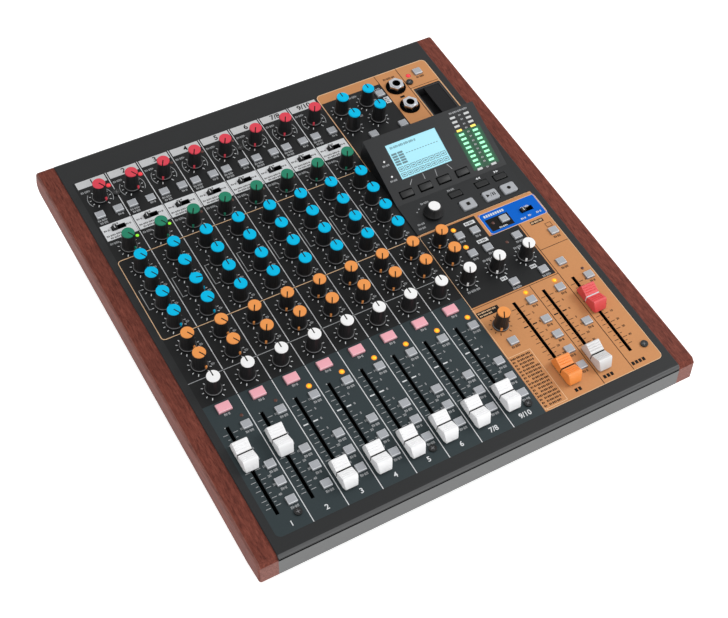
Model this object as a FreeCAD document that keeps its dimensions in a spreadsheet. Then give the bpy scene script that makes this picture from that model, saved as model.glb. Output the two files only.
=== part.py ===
import FreeCAD, Part
import os
import Sketcher
from FreeCAD import Placement, Rotation, Vector

# Table-top recording mixer with eight channel strips and a master section.
# The sloping control panel has its own frame, in which nearly every piece is placed:
# x runs right from the left edge of channel 1, y runs up the slope from the front end
# of the printed strips, and z stands square to the panel, with 0 on its top face.
# The case itself is drawn in the row frame: X right, Y to the rear, Z up from the floor.

os.makedirs("parts", exist_ok=True)
doc = FreeCAD.newDocument("recording_mixer")

# Driving dimensions, in millimetres and degrees
DIMENSIONS = {
    # the case
    "pitch": 25.4, "channel_count": 8, "strip_count": 12, "tilt": 10.0,
    "panel_height": 29.0, "rear_reach": 169.2, "panel_centre": 151.8, "metal_width": 316.0,
    "side_thickness": 14.0,
    "sheet_metal": 1.5, "panel_front": -11.6, "panel_rear": 348.6, "bend_radius": 3.0,
    "front_lip": 4.2, "rear_lip": 7.0, "side_drop": 0.9, "floor_gap": 8.0, "edge_radius": 0.8,
    "front_lean": 3.0, "seam": 0.6, "wood_rear": 351.2, "wood_height": 21.0,
    "wood_tail_radius": 8.0, "wood_crest_radius": 2.5, "wood_chamfer": 3.0, "wood_edge_radius": 2.0,
    "rear_wall": 339.0,
    # knobs and the pots below them
    "knob_height": 16.8, "skirt_radius": 6.0, "skirt_top": 2.0, "knob_foot_radius": 5.3,
    "knob_top_radius": 4.7, "cap_radius": 4.3, "cap_rise": 0.2, "knob_gap": 0.5,
    "shaft_radius": 3.0, "shaft_depth": 7.0, "shaft_clearance": 0.05, "panel_hole": 3.8,
    "pot_width": 9.5, "pot_depth": 11.0, "board_level": -13.0, "board_thickness": 1.6,
    # faders
    "fader_x": 7.5, "slot_middle": 51.2, "slot_length": 72.4, "slot_width": 2.6,
    "fader_low": 21.0, "fader_travel": 60.0, "cap_length": 22.8, "cap_width": 10.8,
    "cap_bottom": 1.3, "cap_ridge": 10.0, "cap_saddle": 7.2, "ridge_reach": 8.1,
    "lever_width": 1.4, "lever_length": 5.0, "lever_depth": 9.0,
    "track_width": 10.0, "track_length": 88.0, "track_top": -3.0,
    # push buttons and slide switches
    "button_width": 6.6, "button_depth": 6.0, "button_height": 1.8, "button_root": 6.2,
    "button_travel": 1.4, "button_clearance": 0.3, "button_round": 0.7,
    "stem_radius": 1.4, "stem_length": 2.9, "low_stem_length": 2.1, "block_width": 7.2,
    "block_top": -8.1, "latched_block_top": -9.9, "key_block_top": -3.2,
    "record_width": 10.0, "record_depth": 7.0, "soft_key_width": 10.4, "soft_key_depth": 5.0,
    "transport_width": 12.0, "transport_depth": 9.2,
    "slider_width": 3.8, "slider_depth": 3.6, "slider_travel": 6.4,
    # display housing
    "housing_left": 204.2, "housing_right": 302.2, "housing_front": 170.0, "housing_fold": 200.0,
    "housing_rear": 254.5, "housing_step": 1.0, "housing_top": 19.0, "housing_wall": 2.0,
    "display_slope": 18.26, "display_level": 197.0, "display_board": -7.5,
    # card bay behind the display
    "bay_left": 278.7, "bay_right": 301.7, "bay_front": 262.0, "bay_rear": 299.4,
    "bay_depth": 8.5, "bay_wall": 1.0, "door_left": 287.0, "door_thickness": 1.3,
    "door_pin_radius": 0.5,
    # sockets
    "jack_bore": 3.25, "jack_collar": 5.4, "nut_flats": 11.0, "nut_height": 3.6,
    "washer_radius": 8.0, "washer_thickness": 0.8, "xlr_width": 26.0, "xlr_height": 31.0,
    "foot_radius": 9.0, "screw_radius": 2.8, "shank_radius": 1.4,
}
sheet = doc.addObject("Spreadsheet::Sheet", "Dims")
for row, (alias, number) in enumerate(DIMENSIONS.items(), start=1):
    sheet.set(f"A{row}", alias)
    sheet.set(f"B{row}", str(number))
    sheet.setAlias(f"B{row}", alias)
doc.recompute()

# Places read off the panel: rows of knobs up each channel strip, front to rear
KNOB_X = 12.7
KNOB_ROWS = {
    "gain": 304.4, "comp": 253.3, "eq_high": 232.4, "eq_mid": 214.3, "eq_tune": 196.3,
    "eq_low": 178.3, "aux_1": 157.2, "aux_2": 139.0, "pan": 117.8,
}
# Clock angles of the knob pointers, clockwise from the rear of the panel
FULL_LEFT, CENTRE, FULL_RIGHT = -150.0, 0.0, 150.0
CHANNEL_2_TUNE_ANGLE = 105.0
MASTER_KNOBS = {
    "master_eq_high": (214.9, 304.0, CENTRE), "master_eq_mid": (237.5, 303.8, CENTRE),
    "master_eq_low": (214.9, 285.5, CENTRE), "master_eq_tune": (237.5, 285.3, CENTRE),
    "aux_master_1": (214.9, 157.2, FULL_LEFT), "aux_master_2": (214.9, 139.4, FULL_LEFT),
    "solo_level": (214.9, 118.8, FULL_LEFT), "monitor_level": (240.1, 118.8, FULL_LEFT),
    "phones_level": (265.5, 118.8, FULL_LEFT), "preset_knob": (215.2, 74.7, FULL_LEFT),
}
# Grey buttons of one channel strip, then of the master section
CHANNEL_BUTTONS = ((6.0, 289.3), (20.3, 289.3), (19.9, 83.3), (19.9, 49.6), (19.9, 35.4), (19.9, 20.4))
RECORD_BUTTON = (12.4, 101.8)
MASTER_BUTTONS = (
    (251.8, 307.7), (225.8, 272.0), (252.1, 272.0), (291.6, 316.3),
    (245.1, 155.9), (245.1, 137.9), (231.8, 156.2), (231.8, 138.2), (270.7, 138.0),
    (245.1, 102.7), (270.7, 102.7), (270.9, 155.7), (298.0, 129.7), (286.5, 103.0),
    (215.8, 59.6), (247.4, 83.5), (247.4, 64.7), (247.4, 50.2), (247.4, 35.7), (247.4, 20.8),
    (272.5, 83.7), (272.8, 50.2), (298.0, 83.7),
)
MASTER_FADERS = {"fader_fx": (234.5, 21.0), "fader_sub": (260.1, 21.0), "fader_main": (286.0, 64.0)}
CHANNEL_FADER_RESTS = (61.4, 61.4, 21.0, 21.0, 21.0, 21.0, 21.0, 22.4)
CHANNEL_SWITCH = (13.4, 273.7)
CHANNEL_SWITCH_SHIFT = -3.0
MASTER_SWITCH = (291.4, 156.2)
ENCODER = (225.5, 183.3)
PHONES_JACKS = ((267.1, 308.6), (266.9, 286.3))
PANEL_SCREWS = (
    (19.7, 10.8), (120.3, 11.1), (196.6, 11.5), (297.8, 15.3),
    (25.4, 304.1), (126.6, 304.1), (279.9, 308.5),
)
SOFT_KEYS_X = (216.4, 232.8, 248.9, 265.4)
SOFT_KEYS_Y = 206.6
FLAT_KEYS = ((250.3, 191.6), (273.8, 191.6), (290.2, 191.6))
TRANSPORT_KEYS = ((253.4, 178.6), (273.6, 178.6), (289.8, 178.6))
LAMPS = (
    (230.8, 162.9), (230.8, 145.3), (260.7, 135.9), (247.4, 90.9), (272.4, 90.8), (297.3, 90.8),
    (282.7, 315.4), (261.2, 155.8),
)
CHANNEL_LAMPS = ((22.9, 313.1), (22.1, 260.5), (20.2, 91.2))
SCREEN = (240.65, 231.6, 44.1, 29.6)
METER_COLUMNS = (280.1, 292.6)
METER_FIRST, METER_STEP, METER_COUNT = 204.1, 3.625, 13
METER_BAR = (4.6, 1.9)
STATUS_LAMPS = ((212.0, 234.6), (212.0, 222.2))
LAMP_RADIUS, STATUS_RADIUS = 1.3, 0.9
BOARD_TOP = "Dims.display_board + 1.4"
# The one latched button that rests pressed: the second one of channel 2
LATCHED = len(CHANNEL_BUTTONS) + 1
REAR_SOCKET_ROW, REAR_JACK_ROW = 64.0, 34.0
XLR_COUNT, XLR_STEP, OUTPUT_COUNT = 10, 29.0, 2
JACK_COUNT, JACK_STEP, FIRST_JACK = 10, 21.0, -72.0
POWER_SWITCH_X, UTILITY_X = -130.0, -100.0
FOOT_X, FOOT_FRONT, FOOT_REAR = 138.0, 16.0, 316.0

channels = range(DIMENSIONS["channel_count"])
pitch = DIMENSIONS["pitch"]
nodes = {}


def text(value):
    """An expression as it is, or a number written out for one."""
    return value if isinstance(value, str) else repr(round(value, 4))


def put(item, x, y, z):
    """Bind the three coordinates of an object's place."""
    for axis, value in zip("xyz", (x, y, z)):
        item.setExpression("Placement.Base." + axis, text(value))
    return item


def block(name, x, y, low, size_x, size_y, height):
    """Part::Box centred on x and y, standing on the level low."""
    item = doc.addObject("Part::Box", name)
    item.setExpression("Length", text(size_x))
    item.setExpression("Width", text(size_y))
    item.setExpression("Height", text(height))
    return put(item, f"{text(x)} - ({text(size_x)}) / 2", f"{text(y)} - ({text(size_y)}) / 2", low)


def disc(name, x, y, low, radius, height):
    """Part::Cylinder standing on the level low."""
    item = doc.addObject("Part::Cylinder", name)
    item.setExpression("Radius", text(radius))
    item.setExpression("Height", text(height))
    return put(item, x, y, low)


def fuse(name, pieces):
    item = doc.addObject("Part::MultiFuse", name)
    item.Shapes = pieces
    return item


def gather(name, pieces):
    """A compound keeps its pieces as separate solids."""
    item = doc.addObject("Part::Compound", name)
    item.Links = pieces
    return item


def cut(name, base, tools):
    item = doc.addObject("Part::Cut", name)
    item.Base = base
    item.Tool = tools[0] if len(tools) == 1 else gather(name + "_tools", tools)
    return item


def copy_at(name, master, x, y, z=0, turn=0, axis=(0, 0, 1)):
    """A linked copy of a master piece, moved and turned."""
    link = doc.addObject("App::Link", name)
    link.LinkedObject = master
    link.LinkTransform = True
    link.Placement = Placement(Vector(0, 0, 0), Rotation(Vector(*axis), turn))
    return put(link, x, y, z)


def plane_of(body, role):
    return [item for item in body.Origin.OriginFeatures if item.Role == role][0]


def outline(body, role, points):
    """Closed sketch through points whose coordinates are expressions."""
    sketch = body.newObject("Sketcher::SketchObject", body.Name + "_outline")
    sketch.AttachmentSupport = [(plane_of(body, role), "")]
    sketch.MapMode = "FlatFace"
    count = len(points)
    guess = Rotation(Vector(0, 0, 1), 360 / count)
    spoke = Vector(10, 0, 0)
    corners = []
    for _ in range(count):
        corners.append(Vector(spoke))
        spoke = guess.multVec(spoke)
    for i in range(count):
        sketch.addGeometry(Part.LineSegment(corners[i], corners[(i + 1) % count]), False)
    for i in range(count):
        sketch.addConstraint(Sketcher.Constraint("Coincident", i, 2, (i + 1) % count, 1))
    for i, point in enumerate(points):
        for kind, value, start in zip(("DistanceX", "DistanceY"), point, (corners[i].x, corners[i].y)):
            index = sketch.addConstraint(Sketcher.Constraint(kind, -1, 1, i, 1, start))
            sketch.setExpression(f"Constraints[{index}]", text(value))
    return sketch


def prism(name, role, points, length, symmetric=True):
    """PartDesign body: one outline padded along its normal."""
    body = doc.addObject("PartDesign::Body", name)
    pad = body.newObject("PartDesign::Pad", name + "_pad")
    pad.Profile = outline(body, role, points)
    if symmetric:
        pad.SideType = "Symmetric"
    pad.setExpression("Length", text(length))
    doc.recompute()
    return body


def turned(name, points):
    """PartDesign body: half an outline turned about the upright axis."""
    body = doc.addObject("PartDesign::Body", name)
    spin = body.newObject("PartDesign::Revolution", name + "_turn")
    sketch = outline(body, "XZ_Plane", points)
    spin.Profile = sketch
    spin.ReferenceAxis = (sketch, ["V_Axis"])
    spin.Angle = 360
    return body


def soften(body, kind, picked, size):
    """Fillet or chamfer the edges for which picked(edge) is true."""
    doc.recompute()
    base = body.Tip
    names = [f"Edge{i}" for i, edge in enumerate(base.Shape.Edges, start=1) if picked(edge)]
    if not names:
        raise RuntimeError("no edge to soften on " + body.Name)
    item = body.newObject("PartDesign::" + kind, f"{body.Name}_{kind}_{len(body.Group)}")
    item.Base = (base, names)
    item.setExpression("Radius" if kind == "Fillet" else "Size", text(size))
    body.Tip = item
    doc.recompute()


def top_edges(level):
    """True for edges that lie wholly at one height."""
    def test(edge):
        box = edge.BoundBox
        return abs(box.ZMin - level) < 0.01 and abs(box.ZMax - level) < 0.01
    return test


def finish_on_panel(label, item):
    """Tilt a piece from the panel frame into the row frame."""
    item.Label = label
    item.Placement = Placement(Vector(0, 0, 0), Rotation(Vector(1, 0, 0), 1))
    item.setExpression("Placement.Rotation.Angle", "Dims.tilt * 1deg")
    put(item, "-Dims.panel_centre", "-Dims.rear_reach", "Dims.panel_height")
    nodes[label] = item


def finish_in_case(label, item):
    """Shift a piece drawn in case coordinates, with y from the panel's origin line."""
    item.Label = label
    put(item, 0, "-Dims.rear_reach", 0)
    nodes[label] = item


# Master pieces that repeat

def make_knob():
    """Tapered body with a skirt, a shaft, a pointer rib and a slightly raised cap."""
    rim = "Dims.knob_height - Dims.cap_rise"
    body = turned("knob_turning", [
        (0, "-Dims.shaft_depth"), ("Dims.shaft_radius", "-Dims.shaft_depth"),
        ("Dims.shaft_radius", "Dims.knob_gap"), ("Dims.skirt_radius", "Dims.knob_gap"),
        ("Dims.skirt_radius", "Dims.skirt_top - 0.4"), ("Dims.knob_foot_radius", "Dims.skirt_top"),
        ("Dims.knob_top_radius", f"{rim} - 0.3"), ("Dims.knob_top_radius - 0.3", rim),
        ("Dims.cap_radius", rim), ("Dims.cap_radius - 0.1", "Dims.knob_height"), (0, "Dims.knob_height"),
    ])
    rib = block("knob_rib", 0, "Dims.skirt_radius - 1.1", "Dims.knob_gap + 0.6", 1.0, 2.0, 3.6)
    return fuse("knob_master", [body, rib])


def make_encoder():
    """Low, wide, conical knob."""
    return turned("encoder_master", [
        (0, -4), ("Dims.shaft_radius", -4), ("Dims.shaft_radius", 1.4), (7.5, 1.4), (7.5, 3.4),
        (5.3, 9.0), (4.6, 9.3), (4.4, 9.6), (0, 9.6),
    ])


def make_button(name, width, depth, height, root, rounding, stem_length="Dims.stem_length"):
    """Rectangular key with rounded upper edges and a round stem; z = 0 is where its root ends."""
    across, along = f"({text(width)}) / 2", f"({text(depth)}) / 2"
    corners = [(f"-{across}", f"-{along}"), (across, f"-{along}"), (across, along), (f"-{across}", along)]
    body = prism(name + "_pad_body", "XY_Plane", corners, f"({text(height)}) + ({text(root)})", symmetric=False)
    soften(body, "Fillet", top_edges(body.Shape.BoundBox.ZMax), rounding)
    stem = disc(name + "_stem", 0, 0, f"-{stem_length}", "Dims.stem_radius", f"{stem_length} + 1")
    return fuse(name, [body, stem])


def make_switch_block(name, base, top):
    """Switch housing on a board, with a running bore for the key's stem."""
    case = block(name + "_case", 0, 0, base, "Dims.block_width", "Dims.block_width", f"{top} - ({base})")
    bore = disc(name + "_bore", 0, 0, f"{base} + 0.2", "Dims.stem_radius + Dims.shaft_clearance", 20)
    return cut(name, case, [bore])


def make_fader():
    """Saddle cap with two ridges and a lever through the slot."""
    reach, ridge = "Dims.cap_length / 2", "Dims.ridge_reach"
    cap = prism("fader_saddle", "YZ_Plane", [
        (f"-{reach}", "Dims.cap_bottom"), (reach, "Dims.cap_bottom"), (reach, "Dims.cap_bottom + 1.6"),
        (f"{ridge} + 0.6", "Dims.cap_ridge - 0.6"), (ridge, "Dims.cap_ridge"),
        (f"{ridge} - 1.2", "Dims.cap_ridge"), (0.6, "Dims.cap_saddle"), (0, "Dims.cap_saddle - 0.4"),
        (-0.6, "Dims.cap_saddle"), (f"1.2 - {ridge}", "Dims.cap_ridge"), (f"-{ridge}", "Dims.cap_ridge"),
        (f"-{ridge} - 0.6", "Dims.cap_ridge - 0.6"), (f"-{reach}", "Dims.cap_bottom + 1.6"),
    ], "Dims.cap_width")
    lever = block("fader_lever", 0, 0, "-Dims.lever_depth", "Dims.lever_width", "Dims.lever_length",
                  "Dims.lever_depth + Dims.cap_bottom + 1")
    return fuse("fader_master", [cap, lever])


def make_pot():
    """Square pot housing with a running bore for the knob's shaft."""
    height = "-Dims.sheet_metal - Dims.board_level - 0.1"
    case = block("pot_case", 0, 0, "Dims.board_level", "Dims.pot_width", "Dims.pot_depth", height)
    bore = disc("pot_bore", 0, 0, "-Dims.shaft_depth - 0.5",
                "Dims.shaft_radius + Dims.shaft_clearance", "Dims.shaft_depth + 1")
    return cut("pot_master", case, [bore])


def make_track():
    """Fader track: a rail box with a groove for the lever."""
    rail = block("track_rail", 0, 0, "Dims.board_level", "Dims.track_width", "Dims.track_length",
                 "Dims.track_top - Dims.board_level")
    groove = block("track_groove", 0, 0, "-Dims.lever_depth - 0.5", "Dims.lever_width + 0.8",
                   "Dims.slot_length", "Dims.lever_depth")
    return cut("track_master", rail, [groove])


def make_nut():
    """Hexagon nut on a round washer, with room for the socket's collar."""
    nut = doc.addObject("Part::Prism", "nut_hexagon")
    nut.Polygon = 6
    nut.setExpression("Circumradius", "Dims.nut_flats / sqrt(3)")
    nut.setExpression("Height", "Dims.nut_height")
    put(nut, 0, 0, "Dims.washer_thickness")
    washer = disc("nut_washer", 0, 0, 0, "Dims.washer_radius", "Dims.washer_thickness")
    room = disc("nut_bore", 0, 0, -1, "Dims.jack_collar - 0.8", "Dims.nut_height + 4")
    return cut("nut_master", fuse("nut_and_washer", [nut, washer]), [room])


def make_jack():
    """Quarter-inch socket: threaded collar and body with one bore, wider at its end."""
    collar = disc("jack_collar", 0, 0, -3, "Dims.jack_collar - 0.8", "Dims.nut_height + 4.2")
    case = block("jack_case", 0, 0, "Dims.board_level", 14, 15, "-Dims.board_level - Dims.sheet_metal")
    bore = disc("jack_bore", 0, 0, -11, "Dims.jack_bore", 20)
    chamber = disc("jack_chamber", 0, 0, -11.6, "Dims.jack_bore + 0.8", 1.6)
    return cut("jack_master", fuse("jack_body", [collar, case]), [bore, chamber])


def make_rear_jack():
    """The same socket for the rear wall; z points out of the wall."""
    collar = disc("rear_collar", 0, 0, -14, "Dims.jack_collar - 0.6", 18)
    ring = disc("rear_ring", 0, 0, 0, "Dims.jack_collar + 1.6", 2.2)
    case = block("rear_jack_case", 0, 0, -17, 13, 13, "17 - Dims.sheet_metal")
    bore = disc("rear_bore", 0, 0, -15, "Dims.jack_bore", 20)
    return cut("rear_jack_master", fuse("rear_jack_body", [collar, ring, case]), [bore])


def pole_places(flip):
    """The three poles of a round microphone connector."""
    reach = 3.8
    return [(-0.87 * reach, 0.5 * flip * reach), (0.87 * reach, 0.5 * flip * reach), (0, -flip * reach)]


def make_socket_shell(name):
    """Flange and hollow barrel of a round three-pole socket; z points out of the rear wall."""
    flange = block(name + "_flange", 0, 0, 0, "Dims.xlr_width", "Dims.xlr_height", 2)
    barrel = disc(name + "_barrel", 0, 0, -18, 11.5, 18.5)
    well = disc(name + "_well", 0, 0, -12, 9.7, 20)
    return cut(name + "_case", fuse(name + "_shell", [flange, barrel]), [well])


def make_output_socket():
    """Socket with three pins."""
    pins = [disc(f"line_out_pin_{i}", x, y, -13, 1.2, 13) for i, (x, y) in enumerate(pole_places(1))]
    return fuse("line_out", [make_socket_shell("line_out")] + pins)


def make_insert():
    """Plastic insert with three holes, which stands in the shell of a microphone socket."""
    body = disc("mic_insert_body", 0, 0, -12, 7.8, 13)
    holes = [disc(f"mic_hole_{i}", x, y, 0.2, 1.3, 2) for i, (x, y) in enumerate(pole_places(-1))]
    return cut("mic_insert", body, holes)


def make_screw():
    """Pan head with a cross recess, and a short shank through the panel."""
    head = disc("screw_head", 0, 0, 0, "Dims.screw_radius", 1.1)
    shank = disc("screw_shank", 0, 0, -5, "Dims.shank_radius", 5.5)
    slots = [block("screw_slot_x", 0, 0, 0.6, "Dims.screw_radius * 1.1", 0.7, 1),
             block("screw_slot_y", 0, 0, 0.6, 0.7, "Dims.screw_radius * 1.1", 1)]
    return cut("panel_screw", fuse("screw_body", [head, shank]), slots)


knob = make_knob()
encoder = make_encoder()
grey_button = make_button("grey_key", "Dims.button_width", "Dims.button_depth",
                          "Dims.button_height", "Dims.button_root", "Dims.button_round")
record_button = make_button("record_key", "Dims.record_width", "Dims.record_depth",
                            "Dims.button_height", "Dims.button_root", "Dims.button_round")
soft_key = make_button("soft_key", "Dims.soft_key_width", "Dims.soft_key_depth", 1.0, 3.0, 0.5,
                       "Dims.low_stem_length")
transport_key = make_button("transport_key", "Dims.transport_width", "Dims.transport_depth", 1.5, 3.0, 0.8)
switch_block = make_switch_block("switch_block", "Dims.board_level", "Dims.block_top")
latched_block = make_switch_block("latched_block", "Dims.board_level", "Dims.latched_block_top")
key_block = make_switch_block("key_block", "Dims.board_level", "Dims.key_block_top")
soft_block = make_switch_block("soft_block", "Dims.display_board + 1.4", "-3.9")
fader = make_fader()
pot = make_pot()
track = make_track()
nut = make_nut()
jack = make_jack()
mic_shell = make_socket_shell("mic_in")
mic_insert = make_insert()
output_socket = make_output_socket()
rear_jack = make_rear_jack()
screw = make_screw()


def channel_x(channel, offset):
    """Expression for a place at the same offset in every channel strip."""
    return f"Dims.pitch * {channel} + {text(offset)}"


def knob_angle(row, channel):
    if row == "pan":
        return CENTRE
    if channel < 2:
        return CHANNEL_2_TUNE_ANGLE if (row == "eq_tune" and channel == 1) else FULL_RIGHT
    return CENTRE if row.startswith("eq") else FULL_LEFT


def knob_places():
    """Every knob: its name, x and y, and where its pointer rests."""
    for channel in channels:
        for row_name, y in KNOB_ROWS.items():
            yield f"{row_name}_knob_{channel + 1}", channel_x(channel, KNOB_X), y, knob_angle(row_name, channel)
    for name, (x, y, angle) in MASTER_KNOBS.items():
        yield name, text(x), y, angle


def fader_places():
    for channel in channels:
        yield f"fader_{channel + 1}", channel_x(channel, "Dims.fader_x"), CHANNEL_FADER_RESTS[channel]
    for name, (x, rest) in MASTER_FADERS.items():
        yield name, text(x), rest


def channel_button_places():
    for channel in channels:
        for x, y in CHANNEL_BUTTONS:
            yield channel_x(channel, x), y


def switch_places():
    """Windows of the slide switches, and how far off their middle the sliders rest."""
    for channel in channels:
        yield channel_x(channel, CHANNEL_SWITCH[0]), CHANNEL_SWITCH[1], CHANNEL_SWITCH_SHIFT
    yield text(MASTER_SWITCH[0]), MASTER_SWITCH[1], CHANNEL_SWITCH_SHIFT


def lamp_places():
    for channel in channels:
        for x, y in CHANNEL_LAMPS:
            yield channel_x(channel, x), y
    for x, y in LAMPS:
        yield text(x), y


def display_copy(name, master, x, y, lift=0):
    """A copy that lies on the sloping face of the display housing, lifted square to it."""
    level = (f"({text(y)} - Dims.display_level) * tan(Dims.display_slope * 1deg)"
             f" + {text(lift)} * cos(Dims.display_slope * 1deg)")
    back = f"{text(y)} - {text(lift)} * sin(Dims.display_slope * 1deg)"
    link = copy_at(name, master, x, back, level, DIMENSIONS["display_slope"], (1, 0, 0))
    link.setExpression("Placement.Rotation.Angle", "Dims.display_slope * 1deg")
    return link


BAY_X, BAY_Y = "(Dims.bay_left + Dims.bay_right) / 2", "(Dims.bay_front + Dims.bay_rear) / 2"
BAY_WIDTH, BAY_LENGTH = "(Dims.bay_right - Dims.bay_left)", "(Dims.bay_rear - Dims.bay_front)"


# The case

# Depth below the panel's top at which the front face ends
FRONT_DEPTH = 17.9
FRONT_SLANT = "tan((Dims.tilt - Dims.front_lean) * 1deg)"


def front_point(depth):
    """Case coordinates of the leaning front face, at a depth below the panel's top."""
    y, z = f"(Dims.panel_front - {depth} * {FRONT_SLANT})", f"(-{depth})"
    return (f"{y} * cos(Dims.tilt * 1deg) - {z} * sin(Dims.tilt * 1deg)",
            f"Dims.panel_height + {y} * sin(Dims.tilt * 1deg) + {z} * cos(Dims.tilt * 1deg)")


def panel_tools():
    """Everything that is cut out of the control panel."""
    low = "-Dims.sheet_metal - 5"
    for name, x, y, _ in knob_places():
        yield disc(name + "_hole", x, y, low, "Dims.panel_hole", 10)
    for name, x, _ in fader_places():
        yield block(name + "_slot", x, "Dims.slot_middle", low, "Dims.slot_width", "Dims.slot_length", 10)
    opening = ("Dims.button_width + 2 * Dims.button_clearance", "Dims.button_depth + 2 * Dims.button_clearance")
    for i, (x, y) in enumerate(list(channel_button_places()) + [(text(x), y) for x, y in MASTER_BUTTONS]):
        yield block(f"button_hole_{i}", x, y, low, *opening, 10)
    for channel in channels:
        yield block(f"record_hole_{channel}", channel_x(channel, RECORD_BUTTON[0]), RECORD_BUTTON[1], low,
                    "Dims.record_width + 2 * Dims.button_clearance",
                    "Dims.record_depth + 2 * Dims.button_clearance", 10)
    for i, (x, y, _) in enumerate(switch_places()):
        yield block(f"switch_window_{i}", x, y, low, "Dims.slider_travel + Dims.slider_width + 0.8", 4.2, 10)
    for i, (x, y) in enumerate(lamp_places()):
        yield disc(f"lamp_hole_{i}", x, y, low, LAMP_RADIUS, 10)
    for i, (x, y) in enumerate(PANEL_SCREWS):
        yield disc(f"screw_hole_{i}", x, y, low, "Dims.shank_radius + 0.2", 10)
    for i, (x, y) in enumerate(PHONES_JACKS):
        yield disc(f"phones_hole_{i}", x, y, low, "Dims.jack_collar - 0.5", 10)
    middle_x = "(Dims.housing_left + Dims.housing_right) / 2"
    yield block("display_opening", middle_x, "(Dims.housing_front + Dims.housing_rear) / 2", low,
                "Dims.housing_right - Dims.housing_left - 6", "Dims.housing_rear - Dims.housing_front - 8", 10)
    yield block("bay_opening", BAY_X, BAY_Y, low, BAY_WIDTH, BAY_LENGTH, 10)


def make_top_panel():
    """Folded sheet: the sloping panel with a lip on each of its four sides."""
    front, rear, sheet_t, below = "Dims.panel_front", "Dims.panel_rear", "Dims.sheet_metal", 30
    outer = prism("panel_outer", "YZ_Plane", [
        (rear, "-Dims.rear_lip"), (rear, 0), (front, 0),
        (f"{front} - Dims.front_lip * {FRONT_SLANT}", "-Dims.front_lip"),
    ], "Dims.metal_width")
    half = DIMENSIONS["metal_width"] / 2

    def cross_bend(edge):
        return edge.BoundBox.XLength > half and abs(edge.BoundBox.ZMin) < 0.01

    def side_bend(edge):
        box = edge.BoundBox
        return box.YLength > half and abs(box.ZMax) < 0.01 and box.XLength < 0.01
    soften(outer, "Fillet", cross_bend, "Dims.bend_radius")
    soften(outer, "Fillet", side_bend, "Dims.edge_radius")
    inner = prism("panel_inner", "YZ_Plane", [
        (f"{rear} - {sheet_t}", -below), (f"{rear} - {sheet_t}", f"-{sheet_t}"),
        (f"{front} + {sheet_t} * (1 - {FRONT_SLANT})", f"-{sheet_t}"),
        (f"{front} + {sheet_t} - {below} * {FRONT_SLANT}", -below),
    ], "Dims.metal_width - 2 * Dims.sheet_metal")
    placed = [copy_at(item.Name + "_placed", item, "Dims.panel_centre", 0) for item in (outer, inner)]
    finish_on_panel("top_panel", cut("top_panel_cut", placed[0], placed[1:] + list(panel_tools())))


def make_bottom_pan():
    """Front wall, floor and side walls of the steel chassis, in one folded sheet."""
    top, foot = front_point("(Dims.front_lip + Dims.seam)"), front_point(FRONT_DEPTH)
    floor_z, sheet_t = "Dims.floor_gap", "Dims.sheet_metal"
    fold = prism("bottom_pan_fold", "YZ_Plane", [
        top, (foot[0], floor_z), ("Dims.rear_wall", floor_z), ("Dims.rear_wall", f"{floor_z} + {sheet_t}"),
        (f"{foot[0]} + {sheet_t}", f"{floor_z} + {sheet_t}"), (f"{top[0]} + {sheet_t}", top[1]),
    ], "Dims.metal_width")
    wall = prism("pan_side_wall", "YZ_Plane", [
        top, (foot[0], floor_z), ("Dims.rear_wall", floor_z),
        ("Dims.rear_wall", cheek_level("Dims.rear_wall", "Dims.rear_lip + Dims.seam")),
    ], sheet_t)
    walls = [copy_at(f"pan_wall_{name}", wall, f"{side} * (Dims.metal_width - {sheet_t}) / 2", 0)
             for name, side in (("left", -1), ("right", 1))]
    finish_in_case("bottom_pan", fuse("bottom_pan_body", [fold] + walls))


def cheek_level(y, drop):
    """Height above the floor of a line at some depth below the sloping panel, in case coordinates."""
    return f"Dims.panel_height + ({y}) * tan(Dims.tilt * 1deg) - ({drop}) / cos(Dims.tilt * 1deg)"


def wood_outline():
    """Cheek seen from the side: a rail of even height along the slope, cut off level at the front foot."""
    top, foot = front_point("Dims.side_drop"), front_point(FRONT_DEPTH)
    crest = "Dims.panel_rear * cos(Dims.tilt * 1deg)"
    under = "Dims.side_drop + Dims.wood_height"
    lift_off = (f"(Dims.floor_gap - Dims.panel_height + ({under}) / cos(Dims.tilt * 1deg))"
                " / tan(Dims.tilt * 1deg)")
    return [(foot[0], "Dims.floor_gap"), (lift_off, "Dims.floor_gap"),
            ("Dims.wood_rear", cheek_level("Dims.wood_rear", under)),
            (crest, cheek_level(crest, "Dims.side_drop")),
            (top[0], cheek_level(top[0], "Dims.side_drop"))]


def make_side_panel(label, side):
    """Wood-look end rail with a rounded tail, chamfered front top and softened outer edges."""
    body = prism(label + "_cheek", "YZ_Plane", wood_outline(), "Dims.side_thickness")
    half = DIMENSIONS["side_thickness"] / 2

    def along_x(edge):
        return edge.BoundBox.XLength > half

    def tail(edge):
        return along_x(edge) and edge.BoundBox.YMin > body.Shape.BoundBox.YMax - 0.1

    def crest(edge):
        return along_x(edge) and edge.BoundBox.ZMin > body.Shape.BoundBox.ZMax - 0.1

    def front_top(edge):
        box = edge.BoundBox
        return along_x(edge) and box.YMax < 0 and box.ZMin > DIMENSIONS["floor_gap"] + 1

    def outer_face(edge):
        box = edge.BoundBox
        return abs(box.XMin - side * half) < 0.01 and abs(box.XMax - side * half) < 0.01

    soften(body, "Fillet", tail, "Dims.wood_tail_radius")
    soften(body, "Fillet", crest, "Dims.wood_crest_radius")
    soften(body, "Chamfer", front_top, "Dims.wood_chamfer")
    soften(body, "Fillet", outer_face, "Dims.wood_edge_radius")
    finish_in_case(label, body)
    body.setExpression("Placement.Base.x", f"{side} * (Dims.metal_width + Dims.side_thickness) / 2")


def row_x(index, count, step):
    """Places of a row that is centred on the case."""
    return (index - (count - 1) / 2) * step


def jack_x(index):
    return FIRST_JACK + index * JACK_STEP


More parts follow.
